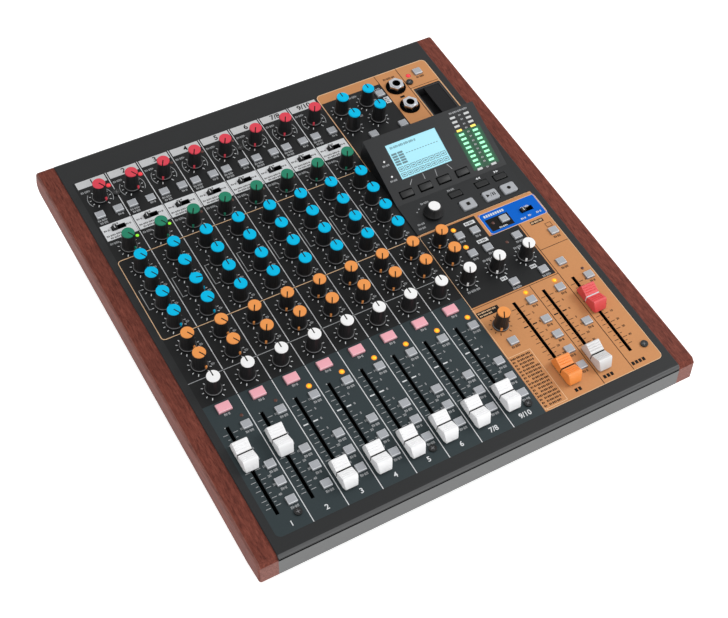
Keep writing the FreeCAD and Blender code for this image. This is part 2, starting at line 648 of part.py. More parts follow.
def on_rear(name, master, x, z):
    """A copy whose z axis points to the rear, set on the rear wall."""
    return copy_at(name, master, x, "Dims.rear_wall", z, -90, (1, 0, 0))


def make_rear_panel():
    """Flat rear wall, pierced for its sockets and the power switch."""
    under_panel = ("Dims.panel_height + (Dims.rear_wall - Dims.sheet_metal) * tan(Dims.tilt * 1deg)"
                   " - Dims.sheet_metal / cos(Dims.tilt * 1deg) - 0.1")
    floor_top = "Dims.floor_gap + Dims.sheet_metal"
    wall = block("rear_wall_plate", 0, "Dims.rear_wall - Dims.sheet_metal / 2", floor_top,
                 "Dims.metal_width - 2 * Dims.sheet_metal - 0.4", "Dims.sheet_metal",
                 f"{under_panel} - ({floor_top})")
    round_hole = disc("xlr_hole", 0, 0, -6, 11.7, 12)
    jack_hole = disc("rear_jack_hole", 0, 0, -6, "Dims.jack_collar - 0.5", 12)
    tools = [on_rear(f"xlr_hole_{i}", round_hole, row_x(i, XLR_COUNT, XLR_STEP), REAR_SOCKET_ROW)
             for i in range(XLR_COUNT)]
    tools += [on_rear(f"jack_hole_{i}", jack_hole, jack_x(i), REAR_JACK_ROW) for i in range(JACK_COUNT)]
    tools.append(block("power_hole", POWER_SWITCH_X, "Dims.rear_wall", REAR_JACK_ROW - 6.9, 19.6, 10, 13.8))
    tools.append(block("usb_hole", UTILITY_X, "Dims.rear_wall", REAR_JACK_ROW - 3, 12.2, 10, 10.9))
    tools.append(on_rear("inlet_hole", disc("inlet_hole_tool", 0, 0, -6, 4.2, 12), UTILITY_X, REAR_JACK_ROW - 13))
    finish_in_case("rear_panel", cut("rear_panel_cut", wall, tools))


def make_feet():
    """Four rubber feet under the floor."""
    foot = disc("foot_disc", 0, 0, 0, "Dims.foot_radius", "Dims.floor_gap")
    dimpled = cut("foot_master", foot, [disc("foot_dimple", 0, 0, -1, 3, 3)])
    finish_in_case("rubber_feet", gather("feet", [
        copy_at(f"foot_{x:.0f}_{y:.0f}", dimpled, x, y) for x in (-FOOT_X, FOOT_X) for y in (FOOT_FRONT, FOOT_REAR)]))


def make_screws():
    heads = [copy_at(f"screw_{i}", screw, x, y, 0, 20 * i) for i, (x, y) in enumerate(PANEL_SCREWS)]
    finish_on_panel("case_screws", gather("screws", heads))


# The display housing and what sits in it

def wedge(name, points, left, right):
    body = prism(name, "YZ_Plane", points, f"({right}) - ({left})")
    return copy_at(name + "_placed", body, f"(({left}) + ({right})) / 2", 0)


def display_tools():
    """Openings in the housing: screen, meters, keys, encoder and status lamps."""
    window = block("window_tool", 0, 0, -9, SCREEN[2], SCREEN[3], 12)
    yield display_copy("window_cut", window, SCREEN[0], SCREEN[1])
    bar = block("bar_tool", 0, 0, -9, *METER_BAR, 12)
    for i, (x, y) in enumerate(meter_places()):
        yield display_copy(f"bar_cut_{i}", bar, x, y)
    key = block("soft_key_tool", 0, 0, -9, "Dims.soft_key_width + 1", "Dims.soft_key_depth + 1.4", 14)
    for i, x in enumerate(SOFT_KEYS_X):
        yield copy_at(f"soft_key_cut_{i}", key, x, SOFT_KEYS_Y)
    for i, (x, y) in enumerate(FLAT_KEYS):
        yield copy_at(f"flat_key_cut_{i}", key, x, y)
    large = block("transport_tool", 0, 0, -9, "Dims.transport_width + 0.8", "Dims.transport_depth + 0.8", 14)
    for i, (x, y) in enumerate(TRANSPORT_KEYS):
        yield copy_at(f"transport_cut_{i}", large, x, y)
    yield disc("encoder_cut", *ENCODER, -9, 3.8, 14)
    lamp = disc("status_tool", 0, 0, -9, STATUS_RADIUS, 12)
    for i, (x, y) in enumerate(STATUS_LAMPS):
        yield display_copy(f"status_cut_{i}", lamp, x, y)


def meter_places():
    for x in METER_COLUMNS:
        for i in range(METER_COUNT):
            yield x, METER_FIRST + i * METER_STEP


def make_display_housing():
    """Wedge-shaped shell with a low front plate, and the card bay behind it."""
    slope = "tan(Dims.display_slope * 1deg)"
    wall = "Dims.housing_wall"
    outer = wedge("housing_outer", [
        ("Dims.housing_front", 0), ("Dims.housing_rear + 1", 0), ("Dims.housing_rear", "Dims.housing_top"),
        ("Dims.housing_fold", "Dims.housing_step"), ("Dims.housing_front", "Dims.housing_step"),
    ], "Dims.housing_left", "Dims.housing_right")
    inner_start = f"Dims.display_level + ({wall} + 0.2) / {slope}"
    inner = wedge("housing_inner", [
        (f"{inner_start} - 1.5 / {slope}", -1.5), (f"Dims.housing_rear - {wall}", -1.5),
        (f"Dims.housing_rear - {wall}", f"Dims.housing_top - 2 * {wall} * {slope} - {wall}"),
    ], f"Dims.housing_left + {wall}", f"Dims.housing_right - {wall}")
    shell = cut("housing_shell", outer, [inner] + list(display_tools()))
    finish_on_panel("display_housing", shell)


def make_card_bay():
    """Tray let into the panel, with a flange below it and a card connector on its floor."""
    depth, wall = "Dims.bay_depth", "Dims.bay_wall"
    outside = block("bay_outside", BAY_X, BAY_Y, f"-{depth} - {wall}", BAY_WIDTH, BAY_LENGTH, f"{depth} + {wall}")
    flange = block("bay_flange", BAY_X, BAY_Y, "-Dims.sheet_metal - 1", f"{BAY_WIDTH} + 2.6", f"{BAY_LENGTH} + 2.6", 1)
    space = block("bay_space", BAY_X, BAY_Y, f"-{depth}", f"{BAY_WIDTH} - 2 * {wall}",
                  f"{BAY_LENGTH} - 2 * {wall}", 20)
    pin_hole = disc("door_pin_hole", 0, 0, -30, "Dims.door_pin_radius + Dims.shaft_clearance", 60)
    bore = copy_at("door_pin_bore", pin_hole, DOOR_PIN_X, BAY_Y, DOOR_PIN_Z, 90, (1, 0, 0))
    tray = cut("bay_tray", fuse("bay_body", [outside, flange]), [space, bore])
    connector = block("card_connector", "Dims.bay_right - 6", BAY_Y, f"-{depth}", 10, 28, 4)
    slot = block("card_slot", "Dims.bay_right - 8", BAY_Y, f"-{depth} + 0.8", 10, 24.6, 2.4)
    finish_on_panel("card_bay", fuse("card_bay_body", [tray, cut("card_reader", connector, [slot])]))


def make_screen():
    """Liquid-crystal module that stands on its board, just below the housing's window."""
    panel = block("screen_tool", 0, 0, BOARD_TOP, SCREEN[2] - 0.1, SCREEN[3] - 0.1, f"-0.4 - ({BOARD_TOP})")
    finish_on_panel("lcd_panel", gather("screen", [display_copy("screen_placed", panel, SCREEN[0], SCREEN[1])]))


def make_meters():
    bar = block("meter_bar", 0, 0, BOARD_TOP, METER_BAR[0] - 0.1, METER_BAR[1] - 0.1, f"0.1 - ({BOARD_TOP})")
    finish_on_panel("meter_segments", gather("meters", [
        display_copy(f"meter_{i}", bar, x, y) for i, (x, y) in enumerate(meter_places())]))


def make_lamps():
    """Round indicator lamps in the panel, and two small ones on the display housing."""
    stem = disc("lamp_stem", 0, 0, -3, LAMP_RADIUS - 0.05, 3.5)
    small = disc("status_stem", 0, 0, BOARD_TOP, STATUS_RADIUS - 0.05, f"0.2 - ({BOARD_TOP})")
    lamps = [copy_at(f"lamp_{i}", stem, x, y) for i, (x, y) in enumerate(lamp_places())]
    lamps += [display_copy(f"status_{i}", small, x, y) for i, (x, y) in enumerate(STATUS_LAMPS)]
    finish_on_panel("indicator_lamps", gather("lamps", lamps))


DOOR_RIGHT = "(Dims.bay_right - Dims.bay_wall - 0.4)"
DOOR_PIN_X, DOOR_PIN_Z = "Dims.bay_right - Dims.bay_wall - 0.9", "-0.2 - Dims.door_thickness / 2"
DOOR_LENGTH = f"({BAY_LENGTH} - 2 * Dims.bay_wall - 0.4)"


def make_card_door():
    """Flap over the card slot, on two pins along its right edge."""
    flap = block("door_flap", f"(Dims.door_left + {DOOR_RIGHT}) / 2", BAY_Y, "-Dims.door_thickness - 0.2",
                 f"{DOOR_RIGHT} - Dims.door_left", DOOR_LENGTH, "Dims.door_thickness")
    pull = block("door_pull", "Dims.door_left + 0.6", BAY_Y, "-Dims.door_thickness - 1.4", 1.2, 24, 1.3)
    rod = disc("door_rod", 0, 0, f"-{DOOR_LENGTH} / 2 - 0.7", "Dims.door_pin_radius", f"{DOOR_LENGTH} + 1.4")
    pins = copy_at("door_pins", rod, DOOR_PIN_X, BAY_Y, DOOR_PIN_Z, 90, (1, 0, 0))
    finish_on_panel("card_door", fuse("door", [flap, pull, pins]))


# Boards and other inner pieces

def button_places():
    """Every grey and pink button of the panel."""
    yield from channel_button_places()
    for x, y in MASTER_BUTTONS:
        yield text(x), y
    for channel in channels:
        yield channel_x(channel, RECORD_BUTTON[0]), RECORD_BUTTON[1]


def display_board_pieces():
    """Small board under the screen, the meters and the soft keys, along the housing's slope."""
    plate = block("display_plate", 0, 0, "Dims.display_board", 91, 50, 1.4)
    yield display_copy("display_plate_placed", plate, 253.2, 225.9)
    for i, x in enumerate(SOFT_KEYS_X):
        yield display_copy(f"soft_switch_{i}", soft_block, x, SOFT_KEYS_Y)


def make_boards():
    """Control board with a switch under every key, the rear connector board and the display's board."""
    width, middle = "Dims.pitch * Dims.strip_count - 3", "Dims.panel_centre"
    level = "Dims.board_level - Dims.board_thickness"
    pieces = [block("control_plate", middle, 161, level, width, 314, "Dims.board_thickness"),
              block("rear_plate", middle, 304, -38, width, 44, "Dims.board_thickness")]
    pieces += [copy_at(f"switch_{i}", latched_block if i == LATCHED else switch_block, x, y)
               for i, (x, y) in enumerate(button_places())]
    pieces += [copy_at(f"key_switch_{i}", key_block, x, y)
               for i, (x, y) in enumerate(TRANSPORT_KEYS + FLAT_KEYS)]
    case = block("slide_case", 0, 0, "Dims.board_level", 15, 5, "-5.6 - Dims.board_level")
    pieces += [copy_at(f"slide_switch_{i}", case, x, y) for i, (x, y, _) in enumerate(switch_places())]
    finish_on_panel("circuit_boards", gather("boards", pieces + list(display_board_pieces())))


def make_pots():
    """A pot under every knob, and the rotary switch of the encoder."""
    spots = [(x, y) for _, x, y, _ in knob_places()] + [ENCODER]
    finish_on_panel("pot_bodies", gather("pots", [
        copy_at(f"pot_{i}", pot, x, y) for i, (x, y) in enumerate(spots)]))


def make_tracks():
    finish_on_panel("fader_tracks", gather("tracks", [
        copy_at(name + "_track", track, x, "Dims.slot_middle") for name, x, _ in fader_places()]))


# Controls

def make_knobs():
    """Channel 1 and master knobs are nodes of their own; channels 2 to 8 share one."""
    shared = []
    for name, x, y, angle in knob_places():
        placed = copy_at(name + "_placed", knob, x, y, 0, -angle)
        if name in MASTER_KNOBS or name.endswith("_1") and "knob" in name:
            finish_on_panel(name, gather(name + "_node", [placed]))
        else:
            shared.append(placed)
    finish_on_panel("channel_knobs", gather("shared_knobs", shared))
    wheel = copy_at("encoder_placed", encoder, *ENCODER)
    finish_on_panel("encoder_knob", gather("encoder_node", [wheel]))


def make_faders():
    for name, x, rest in fader_places():
        placed = copy_at(name + "_placed", fader, x, rest)
        finish_on_panel(name, gather(name + "_node", [placed]))


def keys_node(label, spots):
    """One node of keys that share a direction of travel: each spot is a master, x, y and a level."""
    finish_on_panel(label, gather(label + "_set", [
        copy_at(f"{label}_{i}", *spot) for i, spot in enumerate(spots)]))


def make_keys():
    root = "-Dims.button_root"
    keys_node("channel_buttons", [
        (grey_button, x, y, root + " - Dims.button_travel" if i == LATCHED else root)
        for i, (x, y) in enumerate(channel_button_places())])
    keys_node("master_buttons", [(grey_button, x, y, root) for x, y in MASTER_BUTTONS])
    keys_node("record_buttons", [
        (record_button, channel_x(channel, RECORD_BUTTON[0]), RECORD_BUTTON[1], root) for channel in channels])
    flat = "Dims.housing_step - 3"
    keys_node("transport_buttons", [(transport_key, x, y, flat) for x, y in TRANSPORT_KEYS]
              + [(soft_key, x, y, flat) for x, y in FLAT_KEYS])
    finish_on_panel("soft_keys", gather("soft_key_set", [
        display_copy(f"soft_key_{i}", soft_key, x, SOFT_KEYS_Y, -2.9) for i, x in enumerate(SOFT_KEYS_X)]))


def make_switches():
    """Slide switches: a nib through each window, on a shoe that rides below the panel."""
    nib = block("slider_nib", 0, 0, -5.5, "Dims.slider_width", "Dims.slider_depth", 7.7)
    shoe = block("slider_shoe", 0, 0, -5.5, 7, 4.6, 1.5)
    slider = fuse("slider_master", [nib, shoe])
    finish_on_panel("line_switches", gather("sliders", [
        copy_at(f"slider_{i}", slider, f"{x} + {text(shift)}", y) for i, (x, y, shift) in enumerate(switch_places())]))


# Sockets

def make_phones_jacks():
    """Two sockets in the panel, each with its washer and nut."""
    pieces = [copy_at(f"phones_{i}", jack, x, y) for i, (x, y) in enumerate(PHONES_JACKS)]
    pieces += [copy_at(f"nut_{i}", nut, x, y, 0, 12) for i, (x, y) in enumerate(PHONES_JACKS)]
    finish_on_panel("phones_jacks", gather("phones", pieces))


def make_rear_sockets():
    """Main outputs and microphone inputs in one row, line jacks below them."""
    spots = [row_x(i, XLR_COUNT, XLR_STEP) for i in range(XLR_COUNT)]
    finish_in_case("main_outputs", gather("output_row", [
        on_rear(f"output_{i}", output_socket, x, REAR_SOCKET_ROW) for i, x in enumerate(spots[:OUTPUT_COUNT])]))
    inputs = []
    for i, x in enumerate(spots[OUTPUT_COUNT:]):
        inputs += [on_rear(f"mic_shell_{i}", mic_shell, x, REAR_SOCKET_ROW),
                   on_rear(f"mic_insert_{i}", mic_insert, x, REAR_SOCKET_ROW)]
    finish_in_case("microphone_inputs", gather("input_row", inputs))
    finish_in_case("line_sockets", gather("jack_row", [
        on_rear(f"line_{i}", rear_jack, jack_x(i), REAR_JACK_ROW) for i in range(JACK_COUNT)]))


def make_utility_sockets():
    """Square data socket, the round inlet of the external supply, and the power switch's frame."""
    usb = block("usb_shell", UTILITY_X, "Dims.rear_wall - 6", REAR_JACK_ROW - 2.9, 12, 14, 10.7)
    usb_space = block("usb_space", UTILITY_X, "Dims.rear_wall - 3", REAR_JACK_ROW - 1.4, 9, 14, 7.7)
    tongue = block("usb_tongue", UTILITY_X, "Dims.rear_wall - 5", REAR_JACK_ROW + 0.9, 5.6, 12, 3.2)
    data = fuse("usb_socket", [cut("usb_case", usb, [usb_space]), tongue])
    ring = disc("inlet_ring", 0, 0, -10, 4.1, 11)
    inlet = fuse("inlet_master", [cut("inlet_case", ring, [disc("inlet_well", 0, 0, -9, 2.9, 12)]),
                                  disc("inlet_pin", 0, 0, -9.5, 1.0, 9)])
    power = on_rear("inlet_placed", inlet, UTILITY_X, REAR_JACK_ROW - 13)
    case = block("switch_frame", 0, 0, -9, 19.4, 13.6, 9)
    lip = block("switch_lip", 0, 0, 0, 21.4, 15.6, 1.2)
    hollow = block("switch_hollow", 0, 0, -8, 12.6, ROCKER_GAP, 20)
    pin_bore = copy_at("rocker_bore", disc("rocker_bore_tool", 0, 0, -8.3, 1 + DIMENSIONS["shaft_clearance"], 16.6),
                       0, 0, ROCKER_DEPTH, 90, (0, 1, 0))
    frame = cut("switch_frame_cut", fuse("switch_frame_body", [case, lip]), [hollow, pin_bore])
    finish_in_case("utility_sockets", gather("utility", [
        data, power, on_rear("switch_frame_placed", frame, POWER_SWITCH_X, REAR_JACK_ROW)]))


ROCKER_DEPTH, ROCKER_GAP = -0.6, 11.8


def make_power_switch():
    """Rocker of the power switch, turning on a pin along X."""
    rocker = prism("rocker", "YZ_Plane", [
        (-4, -4), (-4, 4), (0.6, 5.6), (1.6, 5.4), (1.0, 0), (2.6, -5.1), (0.6, -5.6)], 12.0)
    pin = disc("rocker_pin", 0, 0, -8, 1.0, 16)
    turned_pin = copy_at("rocker_pin_turned", pin, 0, 0, 0, 90, (0, 1, 0))
    whole = fuse("rocker_body", [rocker, turned_pin])
    placed = copy_at("rocker_placed", whole, POWER_SWITCH_X, f"Dims.rear_wall + {ROCKER_DEPTH}", REAR_JACK_ROW)
    finish_in_case("power_switch", gather("rocker_node", [placed]))


def make_all():
    make_top_panel()
    make_bottom_pan()
    make_rear_panel()
    make_side_panel("side_panel_left", -1)
    make_side_panel("side_panel_right", 1)
    make_feet()
    make_screws()
    make_display_housing()
    make_card_bay()
    make_screen()
    make_meters()
    make_lamps()
    make_card_door()
    make_boards()
    make_pots()
    make_tracks()
    make_knobs()
    make_faders()
    make_keys()
    make_switches()
    make_phones_jacks()
    make_rear_sockets()
    make_utility_sockets()
    make_power_switch()


def check_and_write():
    """Stop on any failed object or unsound shape, then write one file per sub-part."""
    doc.recompute()
    for item in doc.Objects:
        if "Invalid" in item.State or "Error" in item.State:
            raise RuntimeError(f"{item.Name} failed: {item.State}")
    for label, item in nodes.items():
        if item.Shape.isNull() or not item.Shape.isValid():
            raise RuntimeError(f"{label} has no sound shape")
    for label, item in nodes.items():
        item.Shape.exportStep(f"parts/{label}.step")
        print(label, len(item.Shape.Solids), "solids", round(item.Shape.Volume), "mm3")
    print(len(nodes), "nodes")


make_all()
check_and_write()
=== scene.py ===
import math
import bpy
from mathutils import Matrix, Vector


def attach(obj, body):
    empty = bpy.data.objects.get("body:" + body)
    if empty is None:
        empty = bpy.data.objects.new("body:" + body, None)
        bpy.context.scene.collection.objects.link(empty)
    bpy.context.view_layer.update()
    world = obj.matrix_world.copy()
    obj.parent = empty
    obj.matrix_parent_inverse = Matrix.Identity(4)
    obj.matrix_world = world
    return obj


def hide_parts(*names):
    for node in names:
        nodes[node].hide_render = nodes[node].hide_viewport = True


# Looks of the recording mixer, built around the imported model. Pieces on the sloping panel
# are drawn in the panel's own frame, in millimetres: x runs right from the left edge of
# channel 1, y up the slope, and z square to the panel.

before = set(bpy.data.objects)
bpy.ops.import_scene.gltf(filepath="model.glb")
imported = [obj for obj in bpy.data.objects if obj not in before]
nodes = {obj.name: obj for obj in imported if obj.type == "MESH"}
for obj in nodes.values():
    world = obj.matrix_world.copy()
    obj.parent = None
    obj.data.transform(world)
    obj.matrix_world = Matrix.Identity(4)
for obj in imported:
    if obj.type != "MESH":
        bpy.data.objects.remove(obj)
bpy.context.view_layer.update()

# The panel's frame, and the strips and rows that the controls stand in
PITCH, CHANNELS = 25.4, 8
TILT = math.radians(10)
PANEL_CENTRE, PANEL_FRONT, PANEL_HEIGHT = 151.8, 169.2, 29.0
PANEL = (Matrix.Scale(0.001, 4) @ Matrix.Translation((-PANEL_CENTRE, -PANEL_FRONT, PANEL_HEIGHT))
         @ Matrix.Rotation(TILT, 4, "X"))
DISPLAY_SLOPE, DISPLAY_LEVEL = math.radians(18.26), 197.0
KNOB_X = 12.7
KNOB_ROWS = (
    ("gain", 304.4, "red"), ("comp", 253.3, "green"), ("eq_high", 232.4, "blue"),
    ("eq_mid", 214.3, "blue"), ("eq_tune", 196.3, "blue"), ("eq_low", 178.3, "blue"),
    ("aux_1", 157.2, "orange"), ("aux_2", 139.0, "orange"), ("pan", 117.8, "white"),
)
MASTER_KNOBS = {
    "master_eq_high": (214.9, 304.0, 0, "blue"), "master_eq_mid": (237.5, 303.8, 0, "blue"),
    "master_eq_low": (214.9, 285.5, 0, "blue"), "master_eq_tune": (237.5, 285.3, 0, "blue"),
    "aux_master_1": (214.9, 157.2, -150, "orange"), "aux_master_2": (214.9, 139.4, -150, "orange"),
    "solo_level": (214.9, 118.8, -150, "white"), "monitor_level": (240.1, 118.8, -150, "white"),
    "phones_level": (265.5, 118.8, -150, "white"), "preset_knob": (215.2, 74.7, -150, "orange"),
}
CHANNEL_BUTTONS = ((6.0, 289.3), (20.3, 289.3), (19.9, 83.3), (19.9, 49.6), (19.9, 35.4), (19.9, 20.4))
MASTER_BUTTONS = (
    (251.8, 307.7), (225.8, 272.0), (252.1, 272.0), (291.6, 316.3),
    (245.1, 155.9), (245.1, 137.9), (231.8, 156.2), (231.8, 138.2), (270.7, 138.0),
    (245.1, 102.7), (270.7, 102.7), (270.9, 155.7), (298.0, 129.7), (286.5, 103.0),
    (215.8, 59.6), (247.4, 83.5), (247.4, 64.7), (247.4, 50.2), (247.4, 35.7), (247.4, 20.8),
    (272.5, 83.7), (272.8, 50.2), (298.0, 83.7),
)
RECORD_BUTTON = (12.4, 101.8)
SLIDE_SWITCH, MASTER_SWITCH, SLIDER_REST = (13.4, 273.7), (291.4, 156.2), -3.0
FADER_X, SLOT_MIDDLE, SLOT_LENGTH, SLOT_WIDTH = 7.5, 51.2, 72.4, 2.6
CHANNEL_FADER_RESTS = (61.4, 61.4, 21.0, 21.0, 21.0, 21.0, 21.0, 22.4)
MASTER_FADERS = {
    "fader_fx": (234.5, 21.0, "orange_fader"), "fader_sub": (260.1, 21.0, "clear_fader"),
    "fader_main": (286.0, 64.0, "red_fader"),
}
PHONES_JACKS = ((267.1, 308.6), (266.9, 286.3))
SOFT_KEYS_X, SOFT_KEYS_Y = (216.4, 232.8, 248.9, 265.4), 206.6
FLAT_KEYS = ((250.3, 191.6), (273.8, 191.6), (290.2, 191.6))
TRANSPORT_KEYS = ((253.4, 178.6), (273.6, 178.6), (289.8, 178.6))
FLAT_PLATE = 1.03
SCREEN = (218.6, 262.7, 216.8, 246.4)
METER_COLUMNS, METER_FIRST, METER_STEP, METER_COUNT = (280.1, 292.6), 204.1, 3.625, 13
ENCODER = (225.5, 183.3)
STATUS_LAMPS = ((212.0, 234.6), (212.0, 222.2))
PANEL_SCREWS = (
    (19.7, 10.8), (120.3, 11.1), (196.6, 11.5), (297.8, 15.3), (25.4, 304.1), (126.6, 304.1), (279.9, 308.5),
)
FRONT_LEAN = math.radians(3)
LIP_FRONT, LIP_DEPTH, METAL_WIDTH = -11.6, 4.2, 316.0
# Heights of the printed layers above the panel
FIELD, PATCH, MARK = 0.03, 0.06, 0.09


def rgb(red, green, blue):
    """Linear colour from the 0 to 255 values that a screen shows."""
    def line(v):
        v /= 255
        return v / 12.92 if v <= 0.04045 else ((v + 0.055) / 1.055) ** 2.4
    return (line(red), line(green), line(blue), 1.0)


# Materials

# Scale of the fine grain in every surface, and how far its roughness wanders
GRAIN, WEAR = 900.0, 0.05


def set_inputs(tree, node, inputs):
    """Give a node's inputs plain values, or the outputs of other nodes."""
    for name, value in inputs.items():
        if isinstance(value, bpy.types.NodeSocket):
            tree.links.new(value, node.inputs[name])
        else:
            node.inputs[name].default_value = value
    return node


def add_node(tree, kind, inputs):
    return set_inputs(tree, tree.nodes.new("ShaderNode" + kind), inputs)


def multiplied(tree, first, second):
    """Colour multiplied by a grey value."""
    mix = tree.nodes.new("ShaderNodeMix")
    mix.data_type = "RGBA"
    mix.blend_type = "MULTIPLY"
    return set_inputs(tree, mix, {"Factor": 1.0, "A": first, "B": second}).outputs["Result"]


def coloured(name, colour, roughness=0.5, metallic=0.0, coat=0.0, speckle=0.06, bump=0.02, gloss=0.3):
    """Moulded or painted surface: fine speckle in colour, broad change in roughness, fine bump."""
    material = bpy.data.materials.new(name)
    material.use_nodes = True
    tree = material.node_tree
    place = tree.nodes.new("ShaderNodeTexCoord").outputs["Object"]
    fine = add_node(tree, "TexNoise", {"Vector": place, "Scale": GRAIN, "Detail": 4})
    broad = add_node(tree, "TexNoise", {"Vector": place, "Scale": 35, "Detail": 5})
    shade = add_node(tree, "MapRange", {
        "Value": fine.outputs["Fac"], "To Min": 1 - speckle, "To Max": 1 + speckle,
    })
    rough = add_node(tree, "MapRange", {
        "Value": broad.outputs["Fac"], "To Min": roughness - WEAR, "To Max": roughness + WEAR,
    })
    relief = add_node(tree, "Bump", {
        "Height": fine.outputs["Fac"], "Strength": bump * 10, "Distance": 0.00002,
    })
    set_inputs(tree, tree.nodes["Principled BSDF"], {
        "Base Color": multiplied(tree, colour, shade.outputs["Result"]),
        "Roughness": rough.outputs["Result"], "Normal": relief.outputs["Normal"],
        "Metallic": metallic, "Specular IOR Level": gloss,
        "Coat Weight": coat, "Coat Roughness": 0.12,
    })
    return material


def glowing(name, colour, strength):
    """Lit lens: the colour glows through a glossy face."""
    material = coloured(name, colour, roughness=0.25, coat=0.4)
    tree = material.node_tree
    set_inputs(tree, tree.nodes["Principled BSDF"], {"Emission Color": colour, "Emission Strength": strength})
    return material


def wood_material(name, dark, middle, light, gloss):
    """Matt reddish wood: long streaks and pores along the rail."""
    material = coloured(name, middle, roughness=0.55, speckle=0.02, gloss=gloss)
    tree = material.node_tree
    place = tree.nodes.new("ShaderNodeTexCoord").outputs["Object"]
    stretch = add_node(tree, "Mapping", {
        "Vector": place, "Rotation": (-TILT, 0, 0), "Scale": (760, 36, 760),
    })
    along = stretch.outputs["Vector"]
    streaks = add_node(tree, "TexNoise", {
        "Vector": along, "Scale": 1.0, "Detail": 9, "Roughness": 0.66, "Distortion": 0.4,
    })
    pores = add_node(tree, "TexNoise", {"Vector": along, "Scale": 4.0, "Detail": 3})
    ramp = add_node(tree, "ValToRGB", {"Fac": streaks.outputs["Fac"]})
    ramp.color_ramp.elements[0].position = 0.3
    ramp.color_ramp.elements[0].color = dark
    ramp.color_ramp.elements[1].position = 0.7
    ramp.color_ramp.elements[1].color = light
    ramp.color_ramp.elements.new(0.5).color = middle
    shade = add_node(tree, "MapRange", {
        "Value": pores.outputs["Fac"], "From Min": 0.3, "From Max": 0.45, "To Min": 0.66, "To Max": 1.0,
    })
    relief = add_node(tree, "Bump", {
        "Height": streaks.outputs["Fac"], "Strength": 0.2, "Distance": 0.0001,
    })
    set_inputs(tree, tree.nodes["Principled BSDF"], {
        "Base Color": multiplied(tree, ramp.outputs["Color"], shade.outputs["Result"]),
        "Normal": relief.outputs["Normal"],
    })
    return material


